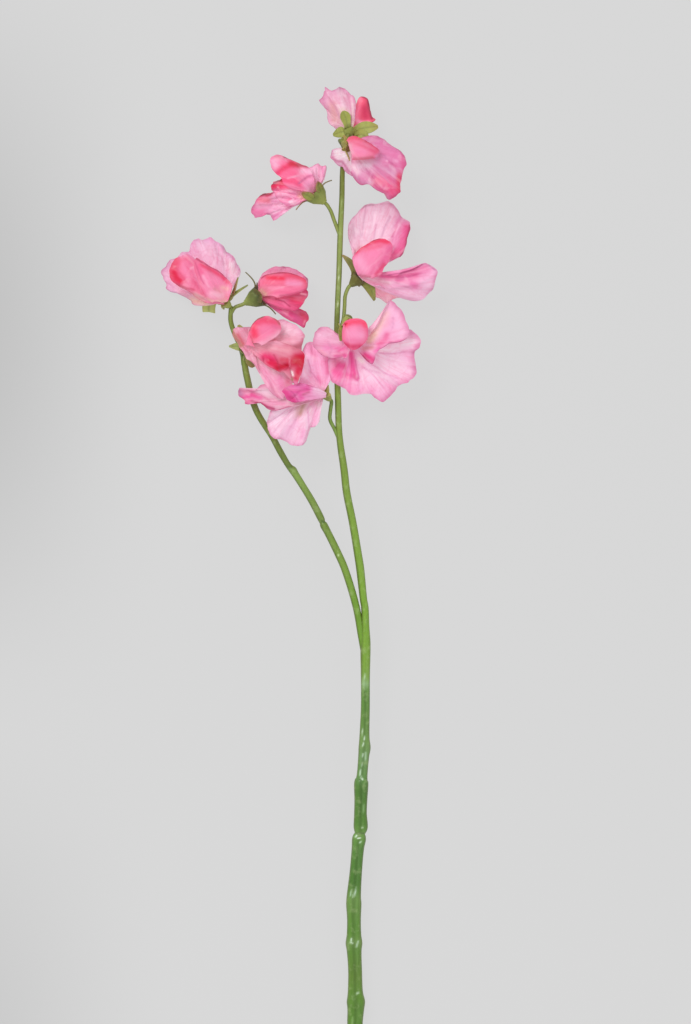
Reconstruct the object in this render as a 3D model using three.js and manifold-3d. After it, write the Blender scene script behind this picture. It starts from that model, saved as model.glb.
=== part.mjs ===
// A cut sweet pea spray lying on a surface: a jointed stem, a main stalk and a side stalk,
// and nine blooms. Millimetres, +Z up, the flower's tip towards +Y, the surface at Z = 0.
import * as THREE from "three";
import { mergeVertices } from "three/addons/utils/BufferGeometryUtils.js";
import Module from "manifold-3d";

const wasm = await Module();
wasm.setup();

// Driving dimensions
const STEM_SIDES = 10;
const STALK_SIDES = 7;
const CUT_END_Y = -240.5;
const CUT_END_HEIGHT = 3.62;
const STEM_RISE = 0.0445; // height gained along each millimetre of Y
const PETAL_THICKNESS = 0.8;
const SEPAL_THICKNESS = 0.75;
const CLAW_WIDTH = 2.4;
const CLAW_LIFT = 1.0; // from the bottom of the cup to the petal's claw
const CUP_DEPTH = 1.4;
const CUP_SIDES = 7;
const CUP_SHOULDER = { radius: 0.8, height: 0.55 }; // of the mouth radius and the cup's length
const CUP_INSIDE = 0.72; // of the mouth radius
const SOCKET_DEPTH = 1.2;
const SOCKET_GAP = 0.35;
const SOCKET_ENTRY = 1;
const STALK_RADIUS = 0.95; // of a flower stalk
const STALK_LEAD = 1.4; // straight length of a flower stalk before its calyx
const SEPAL_ROOT = { radius: 0.86, depth: 1.2 }; // of the mouth radius, and below the mouth
const SEPAL_SPREAD = 0.1; // of its reach, outwards at the knee
const SEPAL_OUTLINE = { base: 0.2, run: 0.75, fullness: 0.8 }; // part of a sine arch
const SEPAL_COLUMNS = 2;
const SEPAL_ROWS = 3;
const FLOOR_CLEARANCE = PETAL_THICKNESS / 2;
const CALM_OFFSETS = [-0.12, -0.06, 0, 0.06, 0.12]; // along the rim, averaged for the ribs
const RIM_GRIP = 3;
const ROOT_STIFFNESS = 2; // how firmly a petal's faces keep to one direction at its claw
const SLIVER = 0.02; // shortest detail kept where cells meet
const PETAL_ROWS = { standard: 4, wing_left: 3, wing_right: 3, keel: 4 };

// Stations along the stem: x, y and diameter, from the cut end up.
const MAIN_STEM = [
  [27.6, CUT_END_Y, 7.2], [27.5, -228, 7.2], [27.9, -221, 7.9], [27.95, -217.5, 8.7],
  [27.7, -213, 7.2], [27.55, -201.5, 6.6], [27.1, -192, 7.2], [27, -188, 8.2], [27, -184, 7.2],
  [27, -176.5, 6.8], [26.9, -168, 7.5], [26.9, -165, 7], [28, -151.5, 5.8], [29, -140, 5.9],
  [29.6, -135.3, 6.6], [29.95, -133, 5.2], [30.4, -130, 6.6], [30.25, -123, 6], [30.45, -116, 6.1],
  [30.65, -107.8, 6.7], [30.9, -105.5, 5.3], [31.9, -94, 5], [32.3, -90.2, 5.5], [32.25, -85, 4.5],
  [32.7, -69.5, 4.4], [32.7, -54.2, 4.5], [32.75, -37.5, 4.9], [32.7, -30, 3.9], [32.4, -19.5, 3.4],
  [31.8, -16, 3.3], [30.05, 0, 3.4], [28.9, 7.5, 3.2], [26.3, 23, 3.1], [23.3, 38, 3.1],
  [22.05, 49, 3], [19.7, 66, 3], [19, 84, 2.9], [18.5, 103, 2.7], [18.35, 117.5, 2.5],
  [18.9, 134, 2.6], [19.5, 147, 2.7], [20.15, 167.5, 2.9], [20.95, 185, 2.7], [21.2, 198, 2.5],
  [21.7, 206, 2.2],
];
const SIDE_STALK = [
  [32.6, -44, 2.6], [31.2, -34, 2.9], [29.1, -19.5, 3], [23.3, 0, 3], [19.5, 7.5, 3],
  [12.4, 21.4, 3.2], [11.4, 23.2, 2.7], [5.3, 38, 2.7], [-2.8, 48.6, 3], [-4, 50.2, 2.6],
  [-12.3, 65, 2.7], [-22.2, 79.5, 2.8], [-26.65, 96, 3], [-29, 108.5, 2.5], [-33.4, 119, 2.3],
  [-34.7, 124, 2.2], [-34.5, 129.6, 2.1],
];

const vector = ([x, y, z]) => new THREE.Vector3(x, y, z);
const stemHeight = (y) => CUT_END_HEIGHT + STEM_RISE * (y - CUT_END_Y);

function material(color, roughness) {
  return new THREE.MeshStandardMaterial({ color, roughness, metalness: 0 });
}
const MATERIALS = {
  stem: material(0x4f7f3f, 0.35),
  calyx: material(0x7d9440, 0.5),
  standard: material(0xf7b6d0, 0.8),
  wing_left: material(0xf783ab, 0.8),
  wing_right: material(0xf9a2c2, 0.8),
  keel: material(0xf2476f, 0.8),
};

// A closed solid and its mesh
function geometryOf(positions, triangles) {
  const geometry = new THREE.BufferGeometry();
  geometry.setAttribute("position", new THREE.Float32BufferAttribute(positions, 3));
  geometry.setIndex(triangles);
  return geometry;
}

function solidOf(geometry) {
  const merged = mergeVertices(geometry, 1e-4);
  const mesh = new wasm.Mesh({
    numProp: 3,
    vertProperties: merged.attributes.position.array,
    triVerts: new Uint32Array(merged.index.array),
  });
  return new wasm.Manifold(mesh);
}

function geometryFrom(solid) {
  const mesh = solid.getMesh();
  return geometryOf(Array.from(mesh.vertProperties), Array.from(mesh.triVerts));
}

// A round tube through the stations, with flat ends. A station is a point and a radius.
function tube(stations, sides) {
  const points = stations.map((station) => station.point);
  const tangents = points.map((point, i) => {
    const before = points[Math.max(i - 1, 0)];
    const after = points[Math.min(i + 1, points.length - 1)];
    return after.clone().sub(before).normalize();
  });
  const positions = [];
  let side = new THREE.Vector3(1, 0, 0);
  stations.forEach(({ point, radius }, i) => {
    side.addScaledVector(tangents[i], -side.dot(tangents[i])).normalize();
    const across = tangents[i].clone().cross(side);
    for (let k = 0; k < sides; k++) {
      const turn = (2 * Math.PI * k) / sides;
      const spoke = side.clone().multiplyScalar(Math.cos(turn)).addScaledVector(across, Math.sin(turn));
      positions.push(...point.clone().addScaledVector(spoke, radius).toArray());
    }
  });
  const first = positions.length / 3;
  positions.push(...points[0].toArray(), ...points[points.length - 1].toArray());
  const triangles = [];
  const lastRing = (stations.length - 1) * sides;
  for (let k = 0; k < sides; k++) {
    const next = (k + 1) % sides;
    for (let ring = 0; ring < lastRing; ring += sides) {
      triangles.push(ring + k, ring + next, ring + sides + next);
      triangles.push(ring + k, ring + sides + next, ring + sides + k);
    }
    triangles.push(first, next, k);
    triangles.push(first + 1, lastRing + k, lastRing + next);
  }
  return geometryOf(positions, triangles);
}

// A stalk whose stations are x, y and diameter follows the stem's slope.
function slopedTube(stations, sides) {
  const rounded = stations.map(([x, y, diameter]) => ({
    point: new THREE.Vector3(x, y, stemHeight(y)),
    radius: diameter / 2,
  }));
  return tube(rounded, sides);
}

// A flower stalk runs through its points and ends inside the socket of its calyx.
function flowerStalk(points, { base, mouth }) {
  const foot = vector(base);
  const axis = vector(mouth).sub(foot).normalize();
  const route = points.map(vector);
  route.push(foot.clone().addScaledVector(axis, -STALK_LEAD));
  route.push(foot.clone().addScaledVector(axis, SOCKET_DEPTH - SOCKET_GAP));
  const curve = new THREE.CatmullRomCurve3(route, false, "centripetal");
  const stations = curve.getPoints(2 * route.length - 2);
  return tube(stations.map((point) => ({ point, radius: STALK_RADIUS })), STALK_SIDES);
}

// A thin plate around a grid of points: one convex cell for each of its squares, joined. The plate
// is thick across its surface, or along the front direction if one is given.
function plate(point, columns, rows, thickness, front) {
  const step = 1e-3;
  const corners = [];
  for (let row = 0; row <= rows; row++) {
    for (let column = 0; column <= columns; column++) {
      const u = column / columns;
      const v = row / rows;
      const alongU = point(Math.min(u + step, 1), v).sub(point(Math.max(u - step, 0), v));
      const alongV = point(u, Math.min(v + step, 1)).sub(point(u, Math.max(v - step, 0)));
      const normal = alongU.cross(alongV).normalize();
      if (front) {
        normal.multiplyScalar(Math.sign(normal.dot(front)) || 1);
        normal.addScaledVector(front, ROOT_STIFFNESS * (1 - v)).normalize();
      }
      const middle = point(u, v);
      const half = normal.multiplyScalar(thickness / 2);
      corners.push([middle.clone().add(half).toArray(), middle.clone().sub(half).toArray()]);
    }
  }
  const cells = [];
  for (let row = 0; row < rows; row++) {
    for (let column = 0; column < columns; column++) {
      const first = row * (columns + 1) + column;
      const square = [first, first + 1, first + columns + 1, first + columns + 2];
      cells.push(wasm.Manifold.hull(square.flatMap((i) => corners[i])));
    }
  }
  return wasm.Manifold.union(cells).simplify(SLIVER);
}

// A petal's middle surface and the way its first face looks. Ribs fan out from the claw to the rim
// and arch by `bulge`, or turn at the flower's throat. The rim's waves fade towards the claw, and
// the surface never goes below the ground.
function petal({ claw, rim, bulge = 0, ruffle = 0, waves = 3, throat, flare = 0.2 }) {
  const edge = new THREE.CatmullRomCurve3(rim.map(vector), false, "centripetal");
  const across = vector(rim[rim.length - 1]).sub(vector(rim[0])).normalize();
  const spokes = rim.map((tip) => vector(tip).sub(claw));
  const front = new THREE.Vector3();
  spokes.slice(1).forEach((spoke, i) => front.add(spoke.clone().cross(spokes[i])));
  front.normalize();
  const upper = front.clone().multiplyScalar(Math.sign(front.z));
  const calmEdge = (u) => {
    const place = new THREE.Vector3();
    for (const offset of CALM_OFFSETS) {
      place.add(edge.getPoint(THREE.MathUtils.clamp(u + offset, 0, 1)));
    }
    return place.divideScalar(CALM_OFFSETS.length);
  };
  const surface = (u, v) => {
    const root = claw.clone().addScaledVector(across, (u - 0.5) * CLAW_WIDTH);
    const calm = calmEdge(u);
    const reach = calm.clone().sub(root);
    const length = reach.length();
    const outward = upper.clone().addScaledVector(reach, -upper.dot(reach) / length ** 2).normalize();
    const knee = throat ? vector(throat) : root.clone().addScaledVector(reach, 0.5);
    knee.addScaledVector(outward, bulge * length);
    knee.addScaledVector(across, (u - 0.5) * flare * length);
    const place = root.multiplyScalar((1 - v) ** 2);
    place.addScaledVector(knee, 2 * v * (1 - v)).addScaledVector(calm, v * v);
    place.addScaledVector(edge.getPoint(u).sub(calm), v ** RIM_GRIP);
    place.addScaledVector(outward, ruffle * v ** 3 * Math.sin(2 * Math.PI * waves * u));
    place.z = Math.max(place.z, FLOOR_CLEARANCE);
    return place;
  };
  return { surface, front };
}

// A calyx: a small cup with a socket for its stalk and five pointed sepals.
function calyx({ base, mouth, baseRadius, mouthRadius, sepals }) {
  const foot = vector(base);
  const top = vector(mouth);
  const axis = top.clone().sub(foot).normalize();
  const length = top.distanceTo(foot);
  const profile = [
    [0, 0], [baseRadius, 0], [mouthRadius * CUP_SHOULDER.radius, length * CUP_SHOULDER.height],
    [mouthRadius, length], [mouthRadius * CUP_INSIDE, length], [0, length - CUP_DEPTH],
  ];
  const cup = new THREE.LatheGeometry(profile.map(([r, y]) => new THREE.Vector2(r, y)), CUP_SIDES);
  cup.deleteAttribute("normal");
  cup.deleteAttribute("uv");
  const turn = new THREE.Quaternion().setFromUnitVectors(new THREE.Vector3(0, 1, 0), axis);
  cup.applyMatrix4(new THREE.Matrix4().compose(foot, turn, new THREE.Vector3(1, 1, 1)));
  let solid = solidOf(cup);
  for (const blade of sepals) solid = solid.add(sepal(top, axis, mouthRadius, blade));
  const socket = tube(
    [-SOCKET_ENTRY, SOCKET_DEPTH].map((height) => ({
      point: foot.clone().addScaledVector(axis, height),
      radius: STALK_RADIUS + SOCKET_GAP,
    })),
    STALK_SIDES,
  );
  return geometryFrom(solid.subtract(solidOf(socket)));
}

// A leaf-shaped blade from the cup's wall to its tip, bending outwards. A flat one lies face up,
// a late one is widest near its tip.
function sepal(top, axis, mouthRadius, { tip: end, width, flat = false, late = 1, lean = 0.4 }) {
  const tip = vector(end);
  const out = tip.clone().sub(top);
  const side = flat ? new THREE.Vector3(0, 0, 1).cross(out).normalize() : new THREE.Vector3();
  out.addScaledVector(axis, -out.dot(axis)).normalize();
  if (!flat) side.copy(axis).cross(out);
  const root = top.clone().addScaledVector(out, mouthRadius * SEPAL_ROOT.radius);
  root.addScaledVector(axis, -SEPAL_ROOT.depth);
  const reach = tip.distanceTo(root);
  const knee = root.clone().addScaledVector(axis, reach * lean);
  knee.addScaledVector(out, reach * SEPAL_SPREAD);
  const { base, run, fullness } = SEPAL_OUTLINE;
  const surface = (u, v) => {
    const place = root.clone().multiplyScalar((1 - v) ** 2);
    place.addScaledVector(knee, 2 * v * (1 - v)).addScaledVector(tip, v * v);
    const across = width * Math.sin(Math.PI * (base + run * v ** late)) ** fullness;
    return place.addScaledVector(side, (u - 0.5) * across);
  };
  return plate(surface, SEPAL_COLUMNS, SEPAL_ROWS, SEPAL_THICKNESS);
}

// The blooms. A petal has its place in the cup (layer, counted towards the viewer from above) and
// the points of its rim. The first bloom stands at the tip, the last on the side stalk.
const BLOOMS = [
  {
    stalk: [[21.6, 204.5, 23.4], [22.4, 210, 24.2], [23.4, 214.2, 26]],
    calyx: {
      base: [24, 216.2, 25.6], mouth: [24.9, 218.4, 21.9], baseRadius: 1.6, mouthRadius: 2.9,
      sepals: [
        { tip: [21.6, 228.4, 23], width: 5, flat: true, late: 2 },
        { tip: [39, 220.6, 22], width: 6.4, flat: true },
        { tip: [31, 214.4, 23], width: 4, flat: true },
        { tip: [16.6, 216.4, 23], width: 6, flat: true },
        { tip: [20.6, 211.6, 23.6], width: 4, flat: true },
      ],
    },
    standard: {
      layer: 1.5, bulge: 0.1, ruffle: 0.5, waves: 4,
      rim: [
        [18, 219.5, 17.5], [15, 222, 16.5], [13.75, 225.5, 15], [13.5, 229, 15], [11.25, 231.5, 14],
        [10, 233.75, 13.5], [11.5, 236, 14], [12.25, 238.5, 14], [12.5, 240.5, 14], [14.75, 239.25, 15],
        [18, 239.25, 15], [20, 240.75, 14], [22.5, 239.75, 14.5], [25, 237.5, 16], [27.25, 235, 17.5],
        [28, 231, 19], [27.75, 227, 20.5], [27, 223.5, 22],
      ],
    },
    keel: {
      layer: -0.9, bulge: 0.14,
      rim: [
        [28, 223.5, 13.5], [28.25, 228, 11.5], [28.5, 232.5, 10.5], [29.5, 235.25, 10], [31, 236, 10],
        [33, 235.25, 10], [34.5, 233, 9.5], [35.25, 229, 9.5], [36.25, 225.75, 10.5],
        [37.5, 224.25, 11], [35.5, 222.75, 12.5], [32.5, 221.75, 14],
      ],
    },
  },
  {
    stalk: [[21.8, 205.5, 23.6], [21.6, 210.4, 24.6], [19.9, 213.4, 28]],
    calyx: {
      base: [21.5, 212.5, 31], mouth: [24.6, 209.8, 33.6], baseRadius: 1.5, mouthRadius: 2.7,
      sepals: [
        { tip: [21.8, 215.8, 35], width: 3 },
        { tip: [24.8, 203.2, 36.4], width: 2 },
        { tip: [28.6, 210.4, 29.6], width: 2.4 },
        { tip: [26.6, 213.6, 27.5], width: 2.6 },
        { tip: [20.8, 208.8, 34], width: 2.4 },
      ],
    },
    standard: {
      layer: -0.4, bulge: 0.1, ruffle: 0.7, waves: 4,
      rim: [
        [30.5, 214.5, 31.5], [34, 215.75, 29.5], [38.5, 215.75, 27.5], [42, 214.25, 26], [45.5, 211.5, 25.5],
        [49.5, 208.5, 26.5], [52, 205.25, 28.5], [53, 201.5, 29.5], [51.75, 197.5, 29.5], [50.5, 193.5, 28.5],
        [50.25, 190, 27.5], [50, 187.5, 27], [47.5, 186, 26.5], [44.25, 184, 26.5], [42.75, 186.5, 27.5],
        [40, 187.75, 28.5], [37, 189.5, 30], [34, 191.25, 31], [30, 191.75, 31.5], [27.5, 194.25, 32],
        [25.25, 197.5, 32],
      ],
    },
    keel: {
      lift: 1.4, layer: 2.2, bulge: 0.3,
      rim: [
        [23.25, 213, 36.5], [24.75, 215, 36], [27, 215.5, 35.5], [30, 214.5, 35], [33.5, 212.75, 34.5],
        [37, 210.5, 35], [39.75, 208, 35.5], [39, 205.75, 36.5], [36, 204.25, 38], [32, 203.75, 38.5],
        [28.5, 203.5, 38.5], [26, 203.25, 38],
      ],
    },
    wing_left: {
      claw: [26.1, 207.3, 31],
      rim: [
        [20.5, 209.75, 27.5], [18, 209.5, 27], [16, 208.25, 26.5], [15.5, 206.25, 26.5], [16.75, 204, 27],
        [19, 202, 27.5], [21.5, 200.5, 27.5], [23.25, 198.25, 28], [26, 195.75, 28.5], [28, 198, 28.5],
      ],
    },
  },
  {
    stalk: [[19.6, 167, 21.8], [17, 174, 21.9], [15.3, 178.6, 21.9], [13.6, 181.4, 21.8]],
    calyx: {
      base: [12.5, 182.5, 21.8], mouth: [7.4, 187.4, 21.8], baseRadius: 1.8, mouthRadius: 5.6,
      sepals: [
        { tip: [16, 193.8, 22], width: 2.6 },
        { tip: [-2, 179, 21.4], width: 1.8 },
        { tip: [8.8, 192.8, 28.5], width: 5 },
        { tip: [1, 187.4, 28.5], width: 5 },
        { tip: [3, 188, 13.5], width: 5 },
      ],
    },
    standard: {
      lift: 1.9, layer: -1.9, bulge: 0.1, ruffle: 0.6, waves: 4,
      rim: [
        [-6, 192, 17.5], [-13, 188.5, 17], [-15.25, 187, 16], [-19, 187, 14.5], [-21.25, 185, 13],
        [-23.25, 181.5, 11.5], [-24.75, 177.5, 10], [-23, 175.25, 9.5], [-19.5, 176, 10],
        [-16.25, 177.25, 11], [-14.5, 175.5, 11], [-12.5, 174.5, 11], [-10.5, 176, 12],
        [-9.5, 178.5, 13.5], [-5.5, 180, 16], [-1.5, 181.25, 17.5], [2.5, 183.2, 18.5],
      ],
    },
    keel: {
      layer: 1.9, bulge: 0.25,
      rim: [
        [6.5, 195.5, 25], [4.5, 199.75, 24.5], [0.5, 201.75, 24], [-4, 204, 23.5], [-8, 205.5, 23.5],
        [-11.5, 206.25, 24], [-14.25, 205.25, 25], [-15.25, 203, 26], [-14, 199.5, 27.5],
        [-11.5, 197, 28.5], [-9.25, 194.75, 29], [-6, 191, 29], [-2, 188.5, 28.5],
      ],
    },
    wing_left: {
      layer: 0.6, bulge: 0.2,
      rim: [
        [-5, 196, 22.5], [-9.5, 194.25, 22], [-12, 193.25, 22], [-14.25, 192.25, 22], [-13.75, 189.75, 22.5],
        [-13, 187.5, 22.5], [-11, 184, 22.5], [-7, 181.5, 22.5], [-3, 181.25, 23.5], [0.5, 183.2, 24],
      ],
    },
    wing_right: {
      layer: -0.6, bulge: 0.1, ruffle: 0.5, waves: 2,
      rim: [
        [0, 196, 19.5], [2.5, 199, 19], [5, 200.25, 18.5], [7.25, 201.5, 18], [9.5, 202.25, 17.5],
        [11.25, 201, 17], [13, 200.75, 17], [12.75, 197.5, 17.5], [12.25, 195, 18],
      ],
    },
  },
  {
    stalk: [[19, 116.5, 19.6], [21.6, 124, 19.8], [22.3, 131, 20.2], [22.6, 136, 20.4]],
    calyx: {
      base: [25.3, 141.3, 20.8], mouth: [29.4, 145.2, 21.6], baseRadius: 1.6, mouthRadius: 3.7,
      sepals: [
        { tip: [21.7, 156, 23], width: 3.4 },
        { tip: [37.5, 134.2, 19], width: 3.2, flat: true },
        { tip: [34.4, 140.6, 17.5], width: 3 },
        { tip: [29.4, 141, 13], width: 3.4 },
        { tip: [29, 152, 14], width: 3.4 },
      ],
    },
    standard: {
      layer: -0.7, bulge: 0.1, ruffle: 0.5, waves: 4,
      rim: [
        [27.5, 158, 19], [25.25, 162.25, 16], [24, 166.5, 13.5], [24.25, 171, 11], [26, 175.25, 8.5],
        [29, 178.25, 6.5], [32.25, 181.25, 4], [35.5, 182.25, 2.5], [40, 183, 1], [44, 183.25, 0.4],
        [46.5, 182, 1.5], [49.5, 179, 4], [52, 175, 6.5], [55, 173.25, 8], [55.25, 170.5, 10],
        [53.75, 166, 13], [53, 161, 16], [51.5, 156.75, 18], [48, 154.5, 19], [44, 153, 19.5],
      ],
    },
    keel: {
      layer: 2.6, bulge: 0.35,
      rim: [
        [26.5, 152.5, 24], [26.25, 155.25, 24], [28.5, 158, 24], [31.5, 160.5, 23.5], [34.5, 162.5, 23.5],
        [37.5, 164, 23.5], [41, 164.5, 24], [44, 163.75, 24.5], [46, 161.5, 25.5], [45.75, 157, 27],
        [44, 153, 28.5], [41.75, 150, 29], [40.5, 146.75, 29], [36, 144.5, 28],
      ],
    },
    wing_right: {
      lift: 1.7, layer: 1.6, bulge: 0.1, ruffle: 0.4, waves: 2,
      rim: [
        [41, 146.75, 25.5], [45, 146.75, 26], [48.5, 147.5, 26], [51, 149, 26], [56, 150.25, 25.5],
        [59.5, 151.75, 24.5], [62, 152.75, 24], [65.5, 150.5, 23], [68.75, 148.25, 22], [67.25, 142.5, 20],
        [65.5, 138.5, 17.5], [61.5, 134.5, 15], [55, 133.75, 14], [50, 135, 14.5], [44, 138.5, 20],
        [39.5, 141.5, 25.5],
      ],
    },
    wing_left: {
      lift: 1.6, layer: -2, throat: [35.4, 143.4, 16.6],
      rim: [
        [43, 141.5, 13], [47, 138.5, 10.5], [50, 135, 8], [46.5, 134, 7.5], [44.5, 132.5, 6.5],
        [41.5, 133.75, 8], [38, 135.5, 10.5], [35.5, 138.25, 13],
      ],
    },
  },
  {
    stalk: [[18.6, 101, 19], [21.5, 109, 19.6], [24.6, 118, 20], [25.3, 125, 20.4]],
    calyx: {
      base: [23.2, 124.9, 24.8], mouth: [24.4, 120.6, 29.8], baseRadius: 1.6, mouthRadius: 3.6,
      sepals: [
        { tip: [20.3, 113.4, 37], width: 2.6, flat: true },
        { tip: [30, 121.5, 24], width: 3.4 },
        { tip: [19.4, 122, 25.5], width: 3 },
        { tip: [24.4, 124.6, 34], width: 3 },
        { tip: [26, 114.5, 23], width: 3 },
      ],
    },
    standard: {
      layer: -2.1, throat: [28.5, 107, 27], ruffle: 0.8, waves: 5,
      rim: [
        [40, 115, 30], [48, 115, 29], [53, 118, 28], [55, 119, 27], [57.5, 117.25, 26], [60.5, 114, 25],
        [59.25, 111, 24.5], [57.5, 108, 24], [57.5, 103, 23.5], [58.25, 98.5, 23], [56.75, 95, 23],
        [54.5, 93, 23.5], [50, 92, 24], [48, 89.25, 24], [46, 86.25, 23.5], [41.5, 83.5, 23],
        [37.5, 85, 23], [35, 87, 24], [29, 86.5, 25], [25, 87, 26], [22, 89.5, 26.5], [19, 91.5, 27],
        [16.25, 93, 27.5], [15.25, 98.5, 28], [16.5, 105, 28.5],
      ],
    },
    keel: {
      lift: 1.3, layer: 2, bulge: 0.6, flare: 0.1,
      rim: [
        [23.2, 122.5, 36.5], [26, 124, 36.5], [30, 124, 36.5], [33.2, 122.3, 36.5], [34.5, 118.8, 37],
        [33.6, 114.5, 37.5], [30.5, 110.5, 38], [26.5, 108.8, 38.5], [23.5, 110.5, 38.5],
        [21.5, 113.5, 38], [21.2, 118, 37],
      ],
    },
    wing_right: {
      layer: -0.7, throat: [29, 109, 31.5], ruffle: 0.4, waves: 3,
      rim: [
        [35.5, 117.5, 32.5], [38.25, 121, 32.5], [40.5, 125.25, 32], [42.5, 129.75, 31.5], [44.25, 133, 30.5],
        [45.75, 133.5, 30], [48.25, 131.25, 30], [51, 128, 30.5], [53, 123.75, 31], [54.25, 119.75, 31.5],
        [54.25, 116.5, 32], [52.25, 113.75, 32.5], [48.75, 112.5, 33], [45.5, 112.5, 33.5],
        [43, 110.75, 34], [39.75, 108.75, 34.5], [37.5, 106.25, 35], [37.25, 103.5, 35], [36, 102, 35],
        [33.75, 103.25, 35], [31.5, 106, 35],
      ],
    },
    wing_left: {
      layer: 0.6, throat: [26, 110, 33.5], ruffle: 0.4, waves: 2,
      rim: [
        [20.5, 113.5, 33.5], [18.5, 116.5, 33], [16, 119, 32.5], [13, 120.25, 32], [10, 120, 31.5],
        [7.75, 118, 31.5], [6.75, 115, 31.5], [6.75, 111.5, 32], [8.5, 108.25, 33], [11.5, 106, 33.5],
        [15.5, 105, 34], [19.5, 105, 34.5], [23, 104.5, 35],
      ],
    },
  },
  {
    stalk: [[17.6, 68.5, 17.6], [15.1, 74, 17.9], [15.5, 79.5, 18.6]],
    calyx: {
      base: [14.9, 84.2, 19.4], mouth: [12, 87.4, 22.4], baseRadius: 1.5, mouthRadius: 2.6,
      sepals: [
        { tip: [9.8, 81.6, 20.6], width: 3, flat: true },
        { tip: [14, 91.6, 22], width: 3 },
        { tip: [8.5, 91.5, 17], width: 3 },
        { tip: [5.5, 86, 18.5], width: 3 },
        { tip: [15.4, 86.2, 26.4], width: 2.6 },
      ],
    },
    standard: {
      lift: 2.3, layer: 0.7, side: 0.2, bulge: 0.1, ruffle: 0.6, waves: 4,
      rim: [
        [-7.5, 82, 25.5], [-14.5, 79.5, 24.5], [-15.5, 75.5, 24], [-16.5, 71.5, 23.5], [-15.75, 68.5, 23.5],
        [-14, 65.5, 23.5], [-10, 64.5, 24], [-6.5, 62.5, 24.5], [-3, 61.25, 24.5], [0.5, 61.25, 24.5],
        [2.5, 62.5, 24.5], [3.75, 67, 24], [5, 70, 24], [7.5, 70.5, 26], [9.5, 73, 26.6], [9.5, 78, 26.3],
        [9.25, 82, 25.6],
      ],
    },
    wing_left: {
      lift: 1.4, layer: 3.7, bulge: 0.07,
      rim: [
        [-5, 91, 27.5], [-15, 92, 25.5], [-19, 91.75, 25.5], [-22, 89.25, 25], [-24.5, 88.25, 24.5],
        [-27, 89.5, 24], [-30.25, 90, 24], [-31, 88.5, 23], [-30, 85.75, 23], [-28, 83.75, 23.5],
        [-27, 81.75, 24.5], [-24.5, 82, 25.5], [-21.5, 82.75, 26.5], [-18.5, 81.5, 27.5],
        [-15, 79.25, 28.5], [-11, 79.25, 29.5], [-6, 80.75, 30.5],
      ],
    },
    wing_right: {
      layer: -1.1, bulge: 0.1, ruffle: 0.5, waves: 2,
      rim: [
        [-2, 89.5, 22.5], [-0.5, 93.5, 23.5], [1, 98, 24.5], [1.5, 102.5, 25.5], [1.25, 107.5, 25],
        [2.75, 111.5, 24.5], [5.5, 113.25, 24.5], [8.5, 112, 24.5], [11, 108, 24], [15, 104, 24],
        [16.5, 99, 23.5], [15.75, 95, 23.5], [13.5, 92, 23],
      ],
    },
    keel: {
      lift: 1.4, layer: 4.8, bulge: 0.18,
      rim: [
        [4.5, 91, 31.5], [0.5, 92.25, 32], [-3.5, 91.5, 32.5], [-7, 90, 32.5], [-8.75, 88.25, 33],
        [-8, 86.25, 33], [-6, 84, 33], [-3, 82.75, 33], [-0.5, 82, 32.5], [2.5, 83.5, 32], [5, 85.5, 31.5],
      ],
    },
  },
  {
    stalk: [[-34.5, 126.5, 19.9], [-34.6, 129.2, 20.2]],
    calyx: {
      base: [-35.2, 130.8, 21], mouth: [-37.6, 132.8, 23.2], baseRadius: 1.5, mouthRadius: 2.7,
      sepals: [
        { tip: [-30.9, 145.2, 25.2], width: 2.6, lean: -0.1 },
        { tip: [-26, 141.4, 23], width: 2.4, lean: 0.15 },
        { tip: [-48.6, 129.6, 11.5], width: 6.6, flat: true, late: 3, lean: 0 },
        { tip: [-38, 129.5, 17.5], width: 3 },
        { tip: [-40.5, 139, 18], width: 3 },
      ],
    },
    standard: {
      lift: 2.2, layer: -1.3, side: 0.4, bulge: 0.05, ruffle: 0.5, waves: 4,
      rim: [
        [-60, 153, 15], [-61, 156, 13.5], [-58.5, 157.75, 12.5], [-56, 159.25, 12], [-54.25, 162.25, 11],
        [-52.5, 164.5, 10.5], [-50, 165.25, 10], [-46.5, 165, 9.5], [-43.5, 163.5, 9], [-39.5, 161.5, 9.5],
        [-37, 159, 10.5], [-34.5, 156, 12], [-31.5, 153, 13.5], [-30.25, 150, 15], [-30, 147, 16.5],
        [-31.9, 143.75, 18],
      ],
    },
    keel: {
      lift: 2, layer: 3, bulge: 0.25,
      rim: [
        [-43.5, 132.5, 29], [-47, 135.5, 29.5], [-49.5, 140, 30.5], [-51, 144.5, 30.5], [-52.5, 149, 30],
        [-52.75, 153, 28.5], [-51.5, 154.75, 27.5], [-49, 153.5, 27], [-46, 151.25, 26.5], [-42, 149, 26.5],
        [-39, 147, 26.5], [-36.25, 144.25, 27], [-33.75, 141, 28.8], [-34.5, 137.5, 29.5],
        [-36, 134.25, 29.5],
      ],
    },
    wing_left: {
      lift: 1.3, layer: 1.1, side: -0.3, bulge: 0.22,
      rim: [
        [-47.5, 132.5, 23.5], [-51, 134.75, 24], [-54, 137.25, 24], [-58, 139.5, 24], [-61.75, 141.75, 23.5],
        [-64.5, 144.5, 22.5], [-65.5, 147.5, 21.5], [-64.5, 151.25, 20.5], [-62.5, 154, 20],
        [-60, 155.75, 20], [-57, 156.75, 20], [-53.5, 155.25, 20.5], [-52, 152.5, 21],
      ],
    },
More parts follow.
